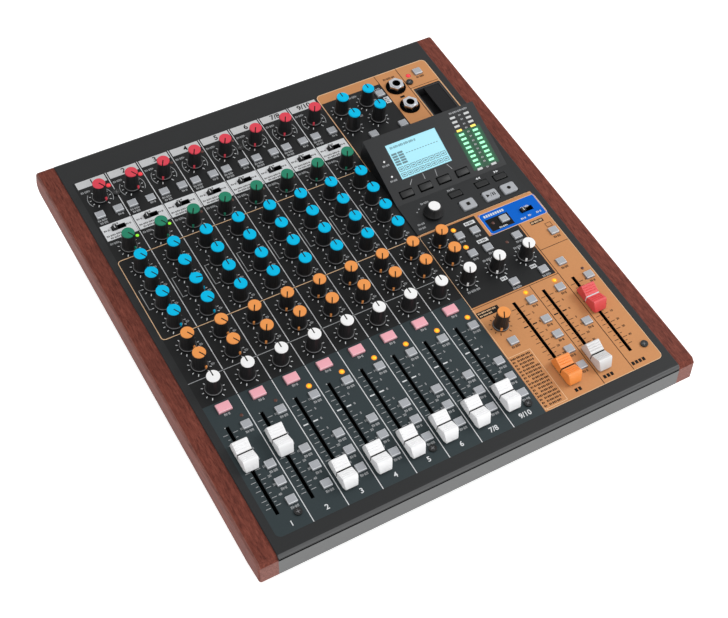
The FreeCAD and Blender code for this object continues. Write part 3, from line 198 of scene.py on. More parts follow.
MATERIALS = {
    "metal": coloured("panel_metal", rgb(34, 35, 36), speckle=0.12, bump=0.05, gloss=0.25),
    # Painted highlight: the pan's front wall is painted lighter grey for the light it faces.
    "front": coloured("front_painted_sheen", rgb(104, 105, 105), 0.45, speckle=0.06, bump=0.04, gloss=0.25),
    # Painted highlight: a lighter grey for the panel's bends, in place of the light they catch.
    "bend_highlight": coloured("bend_painted_highlight", rgb(74, 75, 76), 0.4, speckle=0.08, bump=0.04, gloss=0.4),
    "black": coloured("printed_black", rgb(24, 25, 26), speckle=0.1, bump=0.04, gloss=0.2),
    "slate": coloured("printed_slate", rgb(48, 58, 61), speckle=0.08, bump=0.04, gloss=0.18),
    "gold": coloured("printed_gold", rgb(206, 144, 94), speckle=0.06, bump=0.04, gloss=0.15),
    "cream": coloured("printed_cream", rgb(240, 200, 158), gloss=0.15),
    "white": coloured("printed_white", rgb(222, 224, 226), gloss=0.15),
    "grey": coloured("printed_grey", rgb(206, 207, 208), speckle=0.1, gloss=0.15),
    "tick": coloured("printed_tick", rgb(172, 174, 176), gloss=0.15),
    "blue": coloured("printed_blue", rgb(0, 100, 206), gloss=0.1),
    "dark": coloured("printed_dark", rgb(22, 20, 18), gloss=0.1),
    # Near-black for painted shade in slots, bores, gaps and under the panel; the jack washers take it too.
    "black_and_painted_shade": coloured("shadow_gap", rgb(5, 5, 5), 0.8, gloss=0.02),
    "housing": coloured("housing_plastic", rgb(23, 25, 27), 0.45, speckle=0.1, bump=0.03, gloss=0.33),
    "bay": coloured("bay_plastic", rgb(52, 52, 54), 0.45, gloss=0.2),
    "flap": coloured("bay_flap", rgb(24, 24, 26), 0.45, gloss=0.15),
    "wood": wood_material("wood_rail", rgb(76, 34, 26), rgb(112, 56, 45), rgb(138, 74, 60), 0.15),
    # Painted highlight: paler wood for the rounding along the top and the front-facing end.
    "wood_highlight": wood_material("wood_painted_highlight", rgb(104, 62, 54), rgb(128, 82, 74), rgb(146, 98, 88), 0.2),
    "rubber": coloured("rubber_foot", rgb(24, 24, 24), 0.75, bump=0.08),
    "screw": coloured("black_screw", rgb(9, 9, 10), 0.3, gloss=0.4),
    "board": coloured("board_laminate", rgb(24, 78, 48)),
    "steel": coloured("plated_steel", rgb(176, 176, 178), 0.3, metallic=1.0, speckle=0.03),
    "chrome": coloured("plated_nut", rgb(196, 198, 202), 0.24, metallic=1.0, speckle=0.02, bump=0.01),
    "shell": coloured("socket_shell", rgb(28, 28, 29), 0.45),
    "knob": coloured("knob_black", rgb(28, 28, 29), 0.4, speckle=0.08, bump=0.04, gloss=0.35),
    # Painted highlight: light grey for the knob skirts' shoulder and the screws' cross recesses.
    "rim": coloured("knob_rim", rgb(140, 140, 142), 0.35, speckle=0.08),
    "key": coloured("key_grey", rgb(172, 175, 180), 0.4, speckle=0.03),
    # Painted highlights: lighter copies of the key colours for the rounded upper edges.
    "key_highlight": coloured("key_painted_highlight", rgb(224, 227, 231), 0.35, speckle=0.03),
    "pink_highlight": coloured("pink_key_painted_highlight", rgb(255, 206, 214), 0.35, speckle=0.03),
    "pink": coloured("key_pink", rgb(252, 180, 192), 0.42, speckle=0.03, gloss=0.2),
    "black_key": coloured("key_black", rgb(26, 27, 28), 0.4),
    "red_cap": coloured("cap_red", rgb(226, 72, 88), 0.45, speckle=0.02, gloss=0.15),
    "green_cap": coloured("cap_green", rgb(40, 134, 104), 0.45, speckle=0.02, gloss=0.15),
    "blue_cap": coloured("cap_blue", rgb(0, 192, 238), 0.45, speckle=0.02, gloss=0.1),
    "orange_cap": coloured("cap_orange", rgb(244, 158, 86), 0.45, speckle=0.02, gloss=0.1),
    "white_cap": coloured("cap_white", rgb(250, 250, 250), 0.45, speckle=0.02, gloss=0.15),
    "white_fader": coloured("fader_white", rgb(252, 252, 253), 0.36, coat=0.1, speckle=0.01),
    "orange_fader": coloured("fader_orange", rgb(248, 150, 72), 0.36, coat=0.1, speckle=0.02),
    "clear_fader": coloured("fader_clear", rgb(220, 219, 219), 0.22, coat=0.4, speckle=0.02),
    "red_fader": coloured("fader_red", rgb(228, 82, 84), 0.36, coat=0.1, speckle=0.02),
    "amber_lit": glowing("lamp_amber", rgb(255, 172, 16), 0.9),
    # Painted glow: halos of light on the print around the lit lamps.
    "amber_halo": glowing("lamp_amber_halo", rgb(214, 132, 20), 0.5),
    "red_halo": glowing("lamp_red_halo", rgb(190, 30, 42), 0.35),
    "red_lit": glowing("lamp_red", rgb(240, 44, 56), 0.7),
    "green_lit": glowing("lamp_green", rgb(130, 215, 24), 0.8),
    "lamp_off": coloured("lamp_off", rgb(84, 40, 24), 0.3, coat=0.4),
    "status_white": glowing("lamp_status", rgb(225, 225, 225), 0.2),
    "meter_green": glowing("meter_green", rgb(150, 236, 184), 0.7),
    # Painted glow of the lit meter bars on the housing.
    "meter_glow": glowing("meter_glow", rgb(8, 84, 50), 0.4),
    "meter_haze": glowing("meter_haze", rgb(6, 66, 40), 0.3),
    "meter_yellow": glowing("meter_yellow", rgb(240, 210, 90), 0.6),
    "meter_off": coloured("meter_off", rgb(206, 208, 208), 0.4),
    "screen": glowing("screen_glass", rgb(150, 205, 218), 0.42),
    "screen_ink": coloured("screen_ink", rgb(104, 136, 146)),
}


# Drawing

def show(item):
    bpy.context.scene.collection.objects.link(item)


class Shape:
    """Points, faces and their materials, gathered in the panel's frame."""

    def __init__(self):
        self.points, self.faces, self.looks, self.used = [], [], [], []

    def add(self, points, faces, look):
        if look not in self.used:
            self.used.append(look)
        first = len(self.points)
        self.points.extend(Vector(p) for p in points)
        self.faces.extend([first + i for i in face] for face in faces)
        self.looks.extend([self.used.index(look)] * len(faces))

    def rect(self, x0, x1, y0, y1, z, look):
        self.add([(x0, y0, z), (x1, y0, z), (x1, y1, z), (x0, y1, z)], [(0, 1, 2, 3)], look)

    def line(self, start, end, width, z, look):
        a, b = Vector(start), Vector(end)
        side = (b - a).orthogonal().normalized() * (width / 2)
        self.add([(*(a - side), z), (*(b - side), z), (*(b + side), z), (*(a + side), z)],
                 [(0, 1, 2, 3)], look)

    def ring(self, x, y, inner, outer, z, look, start=0.0, stop=360.0, steps=32):
        """Flat band; angles run clockwise from the rear, as clock hands do."""
        points = []
        for i in range(steps + 1):
            angle = math.radians(start + (stop - start) * i / steps)
            way = Vector((math.sin(angle), math.cos(angle)))
            points += [(x + way.x * inner, y + way.y * inner, z), (x + way.x * outer, y + way.y * outer, z)]
        faces = [(2 * i, 2 * i + 2, 2 * i + 3, 2 * i + 1) for i in range(steps)]
        self.add(points, faces, look)

    def frame(self, x0, x1, y0, y1, width, z, look):
        """Outline of a rectangle, drawn inwards."""
        self.rect(x0, x1, y0, y0 + width, z, look)
        self.rect(x0, x1, y1 - width, y1, z, look)
        self.rect(x0, x0 + width, y0 + width, y1 - width, z, look)
        self.rect(x1 - width, x1, y0 + width, y1 - width, z, look)

    def outline(self, x0, x1, y0, y1, width, radius, z, look):
        """The same with rounded corners."""
        self.rect(x0 + radius, x1 - radius, y0, y0 + width, z, look)
        self.rect(x0 + radius, x1 - radius, y1 - width, y1, z, look)
        self.rect(x0, x0 + width, y0 + radius, y1 - radius, z, look)
        self.rect(x1 - width, x1, y0 + radius, y1 - radius, z, look)
        for x, y, start in ((x1 - radius, y1 - radius, 0), (x1 - radius, y0 + radius, 90),
                            (x0 + radius, y0 + radius, 180), (x0 + radius, y1 - radius, 270)):
            self.ring(x, y, radius - width, radius, z, look, start, start + 90, 8)

    def lathe(self, centre, profile, looks, steps=40, flutes=0, depth=0.0, fluted=()):
        """Turned body: profile is (radius, height) pairs, with one look for each step of it."""
        x, y, z = centre
        rings = []
        for k, (radius, height) in enumerate(profile):
            ring = []
            for i in range(steps):
                angle = 2 * math.pi * i / steps
                r = radius
                if k in fluted:
                    r -= depth * (0.5 + 0.5 * math.cos(flutes * angle))
                ring.append((x + r * math.cos(angle), y + r * math.sin(angle), z + height))
            rings.append(ring)
        for k, look in enumerate(looks):
            points = rings[k] + rings[k + 1]
            faces = [(i, (i + 1) % steps, steps + (i + 1) % steps, steps + i) for i in range(steps)]
            self.add(points, faces, look)
        self.add(rings[-1], [tuple(range(steps))], looks[-1])

    def prism(self, outline, low, high, side_look, top_look=None, bevel=0.0):
        """Upright body over a flat outline (counter-clockwise), with a bevelled upper edge."""
        count = len(outline)
        middle = sum((Vector(p) for p in outline), Vector((0, 0))) / count
        levels = [(low, 0.0), (high - bevel, 0.0), (high - bevel * 0.3, bevel * 0.3), (high, bevel)]
        rings = []
        for height, inset in levels if bevel else [(low, 0.0), (high, 0.0)]:
            ring = []
            for p in outline:
                out = Vector(p) - middle
                moved = Vector((out.x - math.copysign(min(inset, abs(out.x)), out.x),
                                out.y - math.copysign(min(inset, abs(out.y)), out.y)))
                ring.append((middle.x + moved.x, middle.y + moved.y, height))
            rings.append(ring)
        for lower, upper in zip(rings, rings[1:]):
            faces = [(i, (i + 1) % count, count + (i + 1) % count, count + i) for i in range(count)]
            self.add(lower + upper, faces, side_look)
        self.add(rings[-1], [tuple(range(count))], top_look or side_look)

    def join(self, other, matrix):
        """Another shape, moved by a matrix in the panel's frame."""
        first = len(self.points)
        self.points.extend(matrix @ p for p in other.points)
        for face, look in zip(other.faces, other.looks):
            name = other.used[look]
            if name not in self.used:
                self.used.append(name)
            self.faces.append([first + i for i in face])
            self.looks.append(self.used.index(name))

    def piece(self, name, body, replaces=(), smooth=None):
        """The finished object, out of the panel's frame and riding on a body."""
        mesh = bpy.data.meshes.new(name)
        mesh.from_pydata([tuple(p) for p in self.points], [], self.faces)
        for look in self.used:
            mesh.materials.append(MATERIALS[look])
        mesh.polygons.foreach_set("material_index", self.looks)
        mesh.transform(PANEL)
        mesh.validate()
        item = bpy.data.objects.new(name, mesh)
        show(item)
        if smooth is not None:
            mesh.polygons.foreach_set("use_smooth", [True] * len(mesh.polygons))
            weld = item.modifiers.new("weld", "WELD")
            weld.merge_threshold = 0.000002
            split = item.modifiers.new("sharp", "EDGE_SPLIT")
            split.split_angle = math.radians(smooth)
        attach(item, body)
        if replaces:
            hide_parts(*replaces)


def on_display(x, y, lift=0.0):
    """Matrix that lays a shape on the display housing's slope, at a place of the panel."""
    level = (y - DISPLAY_LEVEL) * math.tan(DISPLAY_SLOPE) + lift
    return Matrix.Translation((x, y, level)) @ Matrix.Rotation(DISPLAY_SLOPE, 4, "X")


def display_point(x, y):
    """Place on the slope, in a frame whose y runs up the slope from the housing's fold."""
    return x, (y - DISPLAY_LEVEL) / math.cos(DISPLAY_SLOPE)


def channel_spots(x, y):
    return [(PITCH * c + x, y) for c in range(CHANNELS)]


def rounded(width, depth, radius, steps=5):
    """Outline of a key seen from above, counter-clockwise from its right edge."""
    points = []
    for cx, cy, start in ((1, 1, 0), (-1, 1, 90), (-1, -1, 180), (1, -1, 270)):
        for i in range(steps + 1):
            angle = math.radians(start + 90 * i / steps)
            points.append((cx * (width / 2 - radius) + radius * math.cos(angle),
                           cy * (depth / 2 - radius) + radius * math.sin(angle)))
    return points


def digits(text, x, y, height, z, look, shape):
    """Plain numerals, from Blender's own font, centred on x and y."""
    curve = bpy.data.curves.new("numeral", "FONT")
    curve.body = text
    curve.align_x, curve.align_y = "CENTER", "CENTER"
    curve.size = height * 1.4
    curve.offset = height * 0.03
    item = bpy.data.objects.new("numeral", curve)
    show(item)
    mesh = bpy.data.meshes.new_from_object(item.evaluated_get(bpy.context.evaluated_depsgraph_get()))
    spots = [(x + v.co.x, y + v.co.y, z) for v in mesh.vertices]
    shape.add(spots, [tuple(p.vertices) for p in mesh.polygons], look)
    bpy.data.objects.remove(item)
    bpy.data.meshes.remove(mesh)
    bpy.data.curves.remove(curve)


# The printed panel

# How far the openings reach from the middle of a key, a record key, a slide switch and a jack
KEY_HOLE, RECORD_HOLE, SWITCH_HOLE, JACK_HOLE = (3.6, 3.3), (5.3, 3.8), (5.5, 2.1), (4.5, 4.5)
SLOT_HOLE = (SLOT_WIDTH / 2, SLOT_LENGTH / 2)
BAY_HOLE = (278.7, 302.6, 262.0, 299.4)
# Edges that several printed fields share
STRIPS_LEFT, STRIPS_RIGHT, STRIPS_FOOT = -0.6, 203.8, 107.4
MASTER_RIGHT, MASTER_FRONT, MASTER_MIDDLE, MASTER_REAR = 303.7, 0.3, 170.0, 326.8
ALL_CORNERS = [(-1, -1), (-1, 1), (1, -1), (1, 1)]


def openings():
    """Rectangles that the printed fields leave free."""
    sliders = channel_spots(FADER_X, SLOT_MIDDLE) + [(x, SLOT_MIDDLE) for x, _, _ in MASTER_FADERS.values()]
    keys = [spot for x, y in CHANNEL_BUTTONS for spot in channel_spots(x, y)] + list(MASTER_BUTTONS)
    kinds = ((sliders, SLOT_HOLE), (keys, KEY_HOLE), (channel_spots(*RECORD_BUTTON), RECORD_HOLE),
             (channel_spots(*SLIDE_SWITCH) + [MASTER_SWITCH], SWITCH_HOLE), (PHONES_JACKS, JACK_HOLE))
    holes = [(x - across, x + across, y - along, y + along)
             for spots, (across, along) in kinds for x, y in spots]
    return holes + [BAY_HOLE]


HOLES = openings()


def field(shape, x0, x1, y0, y1, z, look, corners=(), radius=3.0):
    """Printed rectangle with the panel's openings left out of it.

    corners lists the rounded ones, as pairs of -1 or 1 for left or right and front or rear.
    """
    inside = [h for h in HOLES if h[0] < x1 and h[1] > x0 and h[2] < y1 and h[3] > y0]
    for side, end in corners:
        cx = x0 + radius if side < 0 else x1 - radius
        cy = y0 + radius if end < 0 else y1 - radius
        inside.append((min(cx, cx + side * radius), max(cx, cx + side * radius),
                       min(cy, cy + end * radius), max(cy, cy + end * radius)))
        start = {(1, 1): 0, (1, -1): 90, (-1, -1): 180, (-1, 1): 270}[(side, end)]
        shape.ring(cx, cy, 0.0, radius, z, look, start, start + 90, 8)
    xs = sorted({x0, x1} | {min(max(v, x0), x1) for h in inside for v in h[:2]})
    ys = sorted({y0, y1} | {min(max(v, y0), y1) for h in inside for v in h[2:]})
    for a, b in zip(ys, ys[1:]):
        start = None
        for c, d in zip(xs, xs[1:]):
            mx, my = (c + d) / 2, (a + b) / 2
            blocked = any(h[0] < mx < h[1] and h[2] < my < h[3] for h in inside)
            if blocked and start is not None:
                shape.rect(start, c, a, b, z, look)
                start = None
            elif not blocked and start is None:
                start = c
        if start is not None:
            shape.rect(start, xs[-1], a, b, z, look)


def printed_fields():
    """The coloured areas, from the slate fader field to the blue switch panel."""
    s = Shape()
    field(s, STRIPS_LEFT, STRIPS_RIGHT, STRIPS_FOOT, 325.3, FIELD, "black")
    field(s, STRIPS_LEFT, STRIPS_RIGHT, 0.0, STRIPS_FOOT, FIELD, "slate", [(-1, -1)], 4.0)
    field(s, STRIPS_RIGHT, MASTER_RIGHT, MASTER_FRONT, MASTER_MIDDLE, FIELD, "gold", [(1, -1)], 4.0)
    field(s, STRIPS_RIGHT, MASTER_RIGHT, 240.0, MASTER_REAR, FIELD, "gold", [(-1, 1), (1, 1)], 4.0)
    for c in range(CHANNELS):
        left = PITCH * c
        s.rect(left + 1.2, left + 24.1, 318.1, 325.0, PATCH, "grey")
        field(s, left + 1.0, left + 24.9, 264.3, 279.1, PATCH, "white")
    field(s, 204.6, 256.7, 248.0, 317.4, PATCH, "black")
    field(s, 278.0, 302.4, 255.0, 300.4, PATCH, "black", [(-1, 1), (1, 1)], 1.0)
    field(s, STRIPS_RIGHT, 252.0, 145.3, 168.3, PATCH, "black")
    field(s, STRIPS_RIGHT, 277.2, 96.2, 145.3, PATCH, "black")
    field(s, 252.0, 277.2, 145.3, 146.2, PATCH, "black")
    field(s, 254.2, 304.6, 146.2, 167.0, PATCH, "blue", ALL_CORNERS, 1.4)
    field(s, 256.7, 276.3, 148.9, 160.5, MARK, "dark")
    s.piece("printed_fields", "chassis")


def front_seam():
    """Painted shade: a dark strip over the joint between the panel's lip and the pan below it, where the gap
    lies in shade.
    """
    s = Shape()
    lean, out = math.tan(TILT - FRONT_LEAN), 0.02
    rows = [(LIP_FRONT - depth * lean - out, -depth) for depth in (LIP_DEPTH - 0.8, LIP_DEPTH + 0.3)]
    (high_y, high_z), (low_y, low_z) = rows
    reach = METAL_WIDTH / 2 - 0.5
    left, right = PANEL_CENTRE - reach, PANEL_CENTRE + reach
    s.add([(left, low_y, low_z), (right, low_y, low_z), (right, high_y, high_z), (left, high_y, high_z)],
          [(0, 1, 2, 3)], "black_and_painted_shade")
    s.piece("front_seam", "chassis")


def printed_lines(s):
    """Separators, and the frame around the tone controls."""
    for k in range(1, CHANNELS):
        x = PITCH * k
        for low, high in ((0.1, 107.0), (107.8, 128.0), (129.6, 167.8), (169.6, 243.6), (245.2, 263.6),
                          (264.3, 279.1), (279.8, 301.4), (307.0, 325.3)):
            s.rect(x - 0.3, x + 0.3, low, high, PATCH, "white")
        if k not in (1, 5):
            s.rect(x - 0.3, x + 0.3, 301.4, 307.0, PATCH, "white")
    width, corner = 0.55, 3.0
    left, low, high = -0.9, 168.4, 244.7
    for y in (low, high - width):
        s.rect(left + corner, 204.2, y, y + width, MARK, "cream")
    s.rect(left, left + width, low + corner, high - corner, MARK, "cream")
    s.ring(left + corner, high - corner, corner - width, corner, MARK, "cream", 270, 360, 8)
    s.ring(left + corner, low + corner, corner - width, corner, MARK, "cream", 180, 270, 8)
    s.rect(-0.7, 203.5, 128.5, 129.0, MARK, "tick")


def knob_scale(s, x, y, look, arcs=False):
    """Eleven ticks around a knob; the gain knobs have printed arcs too."""
    for i in range(11):
        angle = math.radians(-150 + 30 * i)
        way = Vector((math.sin(angle), math.cos(angle)))
        long = i in (0, 5, 10)
        s.line(Vector((x, y)) + way * 6.9, Vector((x, y)) + way * (8.9 if long else 8.3), 0.6, MARK, look)
    if arcs:
        for side in (-1, 1):
            s.ring(x, y, 9.2, 9.7, MARK, "tick", side * 50, side * 125, 14)


def knob_spots():
    """Every knob: node, x, y, pointer angle and cap colour."""
    for c in range(CHANNELS):
        for name, y, colour in KNOB_ROWS:
            if c < 2 and name != "pan":
                angle = 105.0 if (name == "eq_tune" and c == 1) else 150.0
            else:
                angle = 0.0 if name == "pan" or name.startswith("eq") else -150.0
            yield f"{name}_knob_{c + 1}", PITCH * c + KNOB_X, y, angle, colour
    for name, (x, y, angle, colour) in MASTER_KNOBS.items():
        yield name, x, y, angle, colour


def caption(s, x, y, width, look="tick", height=1.9, z=MARK, pitch=1.5):
    """Strokes and bars in place of a word."""
    stroke = 0.4 if height < 2.5 else 0.6
    count = max(2, round(width / pitch))
    low, high = y - height / 2, y + height / 2
    for i in range(count):
        left = x + (i - count / 2) * pitch
        right = left + pitch - stroke
        level = (high - stroke, y - stroke / 2, low)[i % 3]
        s.rect(left, left + stroke, low, high, z, look)
        if i % 3 == 1:
            s.rect(left + stroke, right, level, level + stroke, z, look)
        else:
            s.rect(right - stroke, right, low, high, z, look)
            s.rect(left + stroke, right - stroke, level, level + stroke, z, look)


def blocks(s, x, y, width, height, look, count):
    """Plain solid blocks in place of a large word."""
    step = width / count
    for i in range(count):
        left = x - width / 2 + i * step
        s.rect(left, left + step * 0.72, y - height / 2, y + height / 2, MARK + 0.03, look)


FADER_TICKS = (
    81.6, 77.6, 73.6, 69.7, 65.2, 60.7, 56.7, 53.3, 49.8, 45.8, 41.9, 38.4, 34.9, 30.9, 27.0, 24.0, 21.0,
)
NOMINAL = 4


def fader_scale(s, x, look):
    """Ladder on both sides of a slot, with a bolder mark at its nominal level."""
    for i, y in enumerate(FADER_TICKS):
        half = 0.5 if i == NOMINAL else 0.22
        reach = 3.6 if i % 2 else 5.4
        shade = "white" if i == NOMINAL and look == "tick" else look
        for left, right in ((x - reach, x - 1.9), (x + 1.9, x + reach)):
            s.rect(left, right, y - half, y + half, MARK, shade)
    for i, mark in zip((0, 2, 4, 6, 8, 10, 12, 14), ("10", "5", "0", "5", "10", "20", "30", "40")):
        digits(mark, x + 8.0, FADER_TICKS[i], 1.7, MARK, look, s)


# Captions as x, y and width, and lines as left, right, front and rear
STRIP_CAPTIONS = (
    (5.3, 314.0, 7), (6.0, 284.3, 8), (6.0, 281.6, 6), (20.3, 284.3, 5), (5.2, 261.0, 7),
    (12.4, 96.2, 5), (19.9, 78.0, 6), (19.9, 44.2, 6), (19.9, 30.0, 5), (19.9, 15.0, 6),
)
SWITCH_CAPTIONS = (
    (4.4, 273.7, 5), (21.2, 273.7, 4.5), (8.8, 268.4, 13), (9.4, 265.9, 10), (12.6, 277.3, 4),
)
MASTER_LINES = (
    (253.0, 253.5, 0.8, 94.7), (278.4, 278.9, 0.8, 145.8), (279.0, 303.2, 118.2, 118.6),
    (203.8, 278.4, 94.7, 95.1), (256.7, 257.2, 255.0, 326.3), (276.6, 277.1, 255.0, 326.3),
    (277.1, 303.2, 302.0, 302.4), (204.8, 222.8, 85.7, 91.2),
)
MASTER_TAGS = (
    (245.2, 163.7, 4.5), (245.2, 145.3, 4.5), (240.2, 108.6, 2.6), (265.7, 108.5, 2.6),
    (254.2, 301.4, 2.2), (254.2, 297.7, 2.2), (291.7, 142.6, 5.5),
)
DARK_CAPTIONS = (
    (215.8, 54.8, 7), (247.4, 78.2, 5), (247.4, 59.4, 5), (247.4, 44.9, 5), (247.4, 30.4, 5),
    (247.4, 15.5, 5), (272.5, 78.3, 5), (272.8, 44.8, 5), (298.0, 78.3, 5), (298.0, 124.2, 6),
    (286.5, 97.5, 6), (291.6, 310.9, 7), (267.0, 319.6, 11),
)
PALE_CAPTIONS = (
    (231.8, 150.9, 5), (231.8, 132.9, 5), (270.7, 132.7, 7), (245.1, 97.6, 8), (270.7, 97.6, 8),
    (225.8, 266.6, 8), (252.1, 266.6, 8), (251.8, 313.0, 7), (214.9, 109.0, 10), (245.1, 150.7, 5),
    (245.1, 132.7, 5), (225.6, 293.5, 6), (226.0, 313.6, 16), (240.1, 128.5, 10), (265.5, 128.5, 8),
)


def printed_marks():
    """White and dark print: lines, scales, plain numbers and strokes in place of words."""
    s = Shape()
    printed_lines(s)
    for name, x, y, _, _ in knob_spots():
        knob_scale(s, x, y, "dark" if name == "preset_knob" else "white", arcs=name.startswith("gain"))
    for c in range(CHANNELS):
        left = PITCH * c
        fader_scale(s, left + FADER_X, "tick")
        number = str(c + 1) if c < 6 else ("7/8", "9/10")[c - 6]
        digits(number, left + 12.4, 5.3, 3.8, MARK, "white", s)
        digits(number, left + 13.1, 321.6, 4.6, MARK, "dark", s)
        for x, y, width in STRIP_CAPTIONS:
            caption(s, left + x, y, width)
        for x, y, width in SWITCH_CAPTIONS:
            caption(s, left + x, y, width, "dark", 1.5)
        s.rect(left + 2.0, left + 2.5, 196.3, 214.3, MARK, "tick")
        s.rect(left + 2.0, left + 4.6, 214.1, 214.6, MARK, "tick")
        s.rect(left + 2.0, left + 4.6, 196.0, 196.5, MARK, "tick")
        for y in (136.5, 154.5, 176.0, 193.6, 211.5, 229.0):
            caption(s, left + 21.8, y, 3.5)
        s.ring(left + 6.0, 87.0, 0.0, 0.5, MARK, "tick", steps=8)
    s.piece("printed_marks", "chassis")


def printed_master():
    """Lines, captions and tags of the master section."""
    s = Shape()
    for (x, _, _), count in zip(MASTER_FADERS.values(), (2, 3, 4)):
        fader_scale(s, x, "dark")
        blocks(s, x, 5.4, 3.0 * count, 2.8, "dark", count)
    s.outline(204.3, 303.9, MASTER_FRONT, MASTER_MIDDLE, 0.4, 4.0, MARK, "cream")
    s.outline(STRIPS_RIGHT, MASTER_RIGHT, 240.0, MASTER_REAR, 0.6, 4.0, MARK, "cream")
    for x0, x1, y0, y1 in MASTER_LINES:
        s.rect(x0, x1, y0, y1, MARK, "dark")
    s.frame(204.3, 223.0, 1.9, 48.8, 0.4, MARK, "cream")
    for i in range(16):
        y = 4.3 + i * 2.8
        caption(s, 206.6, y, 2.6, "dark", 1.6, pitch=1.3)
        caption(s, 214.6 + (i % 3) * 0.5, y, 10.0 + (i % 4) * 1.3, "dark", 1.6, pitch=1.3)
    for x, y, reach in MASTER_TAGS:
        paper, ink = ("dark", "cream") if x > 280 else ("white", "dark")
        s.rect(x - reach, x + reach, y - 1.6, y + 1.6, MARK, paper)
        caption(s, x, y, 2 * reach - 1.6, ink, 1.7, MARK + 0.03, 1.4)
    for y, width in ((89.7, 15.0), (87.3, 11.0)):
        caption(s, 205.8 + width / 2, y, width, "cream", 1.2, MARK + 0.03)
    s.outline(254.2, 304.6, 146.2, 167.0, 0.45, 3.0, MARK, "cream")
    s.frame(295.7, 300.7, 134.3, 138.3, 0.35, MARK, "dark")
    s.rect(264.7, 268.7, 296.4, 298.4, MARK, "dark")
    for x, width in ((278.2, 0.4), (303.2, 0.9)):
        s.rect(x - width / 2, x + width / 2, 255.0, 301.6, MARK, "cream")
    for x, y, width in DARK_CAPTIONS:
        caption(s, x, y, width, "dark")
    for x, y, width in PALE_CAPTIONS:
        caption(s, x, y, width, "tick")
    blocks(s, 266.7, 163.4, 18.0, 2.2, "white", 9)
    for x, y, width, height in ((291.5, 158.6, 8, 1.7), (284.6, 149.6, 4, 1.6),
                                (290.6, 150.2, 3, 1.6), (298.7, 150.2, 5, 1.6), (267.2, 149.9, 7, 1.4)):
        caption(s, x, y, width, "white", height, MARK + 0.03)
    s.piece("printed_master", "chassis")


# Controls

def knob_shape(colour):
    """Knob at the origin, with its pointer to the rear."""
    s = Shape()
    cap = colour + "_cap"
    profile = [(5.9, 0.5), (6.0, 0.7), (6.0, 1.5), (5.92, 1.7), (5.72, 1.85), (5.4, 2.0), (5.25, 2.6),
               (4.95, 9.0), (4.75, 15.2), (4.72, 15.6), (4.66, 15.7), (4.66, 16.35), (4.5, 16.6), (4.4, 16.7)]
    # The skirt's shoulder is painted light grey all round: a painted highlight.
    looks = ["knob"] * 3 + ["rim"] + ["knob"] * 6 + [cap] * 3
    s.lathe((0, 0, 0), profile, looks, steps=72, flutes=18, depth=0.18, fluted=(6, 7, 8))
    s.add([(-0.42, 0.0, 16.73), (0.42, 0.0, 16.73), (0.42, 4.4, 16.73), (-0.42, 4.4, 16.73),
           (0.42, 4.69, 16.38), (-0.42, 4.69, 16.38), (0.42, 4.69, 15.7), (-0.42, 4.69, 15.7)],
          [(0, 1, 2, 3), (3, 2, 4, 5), (5, 4, 6, 7)], "dark")
    s.prism([(-0.7, 4.6), (0.7, 4.6), (0.7, 5.95), (-0.7, 5.95)], 1.0, 4.4, cap, bevel=0.2)
    return s


def knobs():
    """One piece for each knob that turns by itself, and one for the rest."""
    masters = {colour: knob_shape(colour) for colour in ("red", "green", "blue", "orange", "white")}
    shared = Shape()
    for name, x, y, angle, colour in knob_spots():
        place = Matrix.Translation((x, y, 0)) @ Matrix.Rotation(-math.radians(angle), 4, "Z")
        if name in nodes:
            single = Shape()
            single.join(masters[colour], place)
            single.piece(name + "_look", name, (name,), smooth=35)
        else:
            shared.join(masters[colour], place)
    shared.piece("channel_knobs_look", "chassis", ("channel_knobs",), smooth=35)


def encoder():
    s = Shape()
    profile = [(7.3, 1.3), (7.5, 1.5), (7.5, 3.2), (7.2, 3.6), (5.5, 8.6), (5.1, 9.1), (4.6, 9.3),
               (4.4, 9.35), (4.2, 9.5)]
    s.lathe((ENCODER[0], ENCODER[1], 0), profile, ["knob"] * 7 + ["white_cap"], steps=72, flutes=24,
            depth=0.2, fluted=(3, 4))
    s.piece("encoder_look", "encoder_knob", ("encoder_knob",), smooth=35)


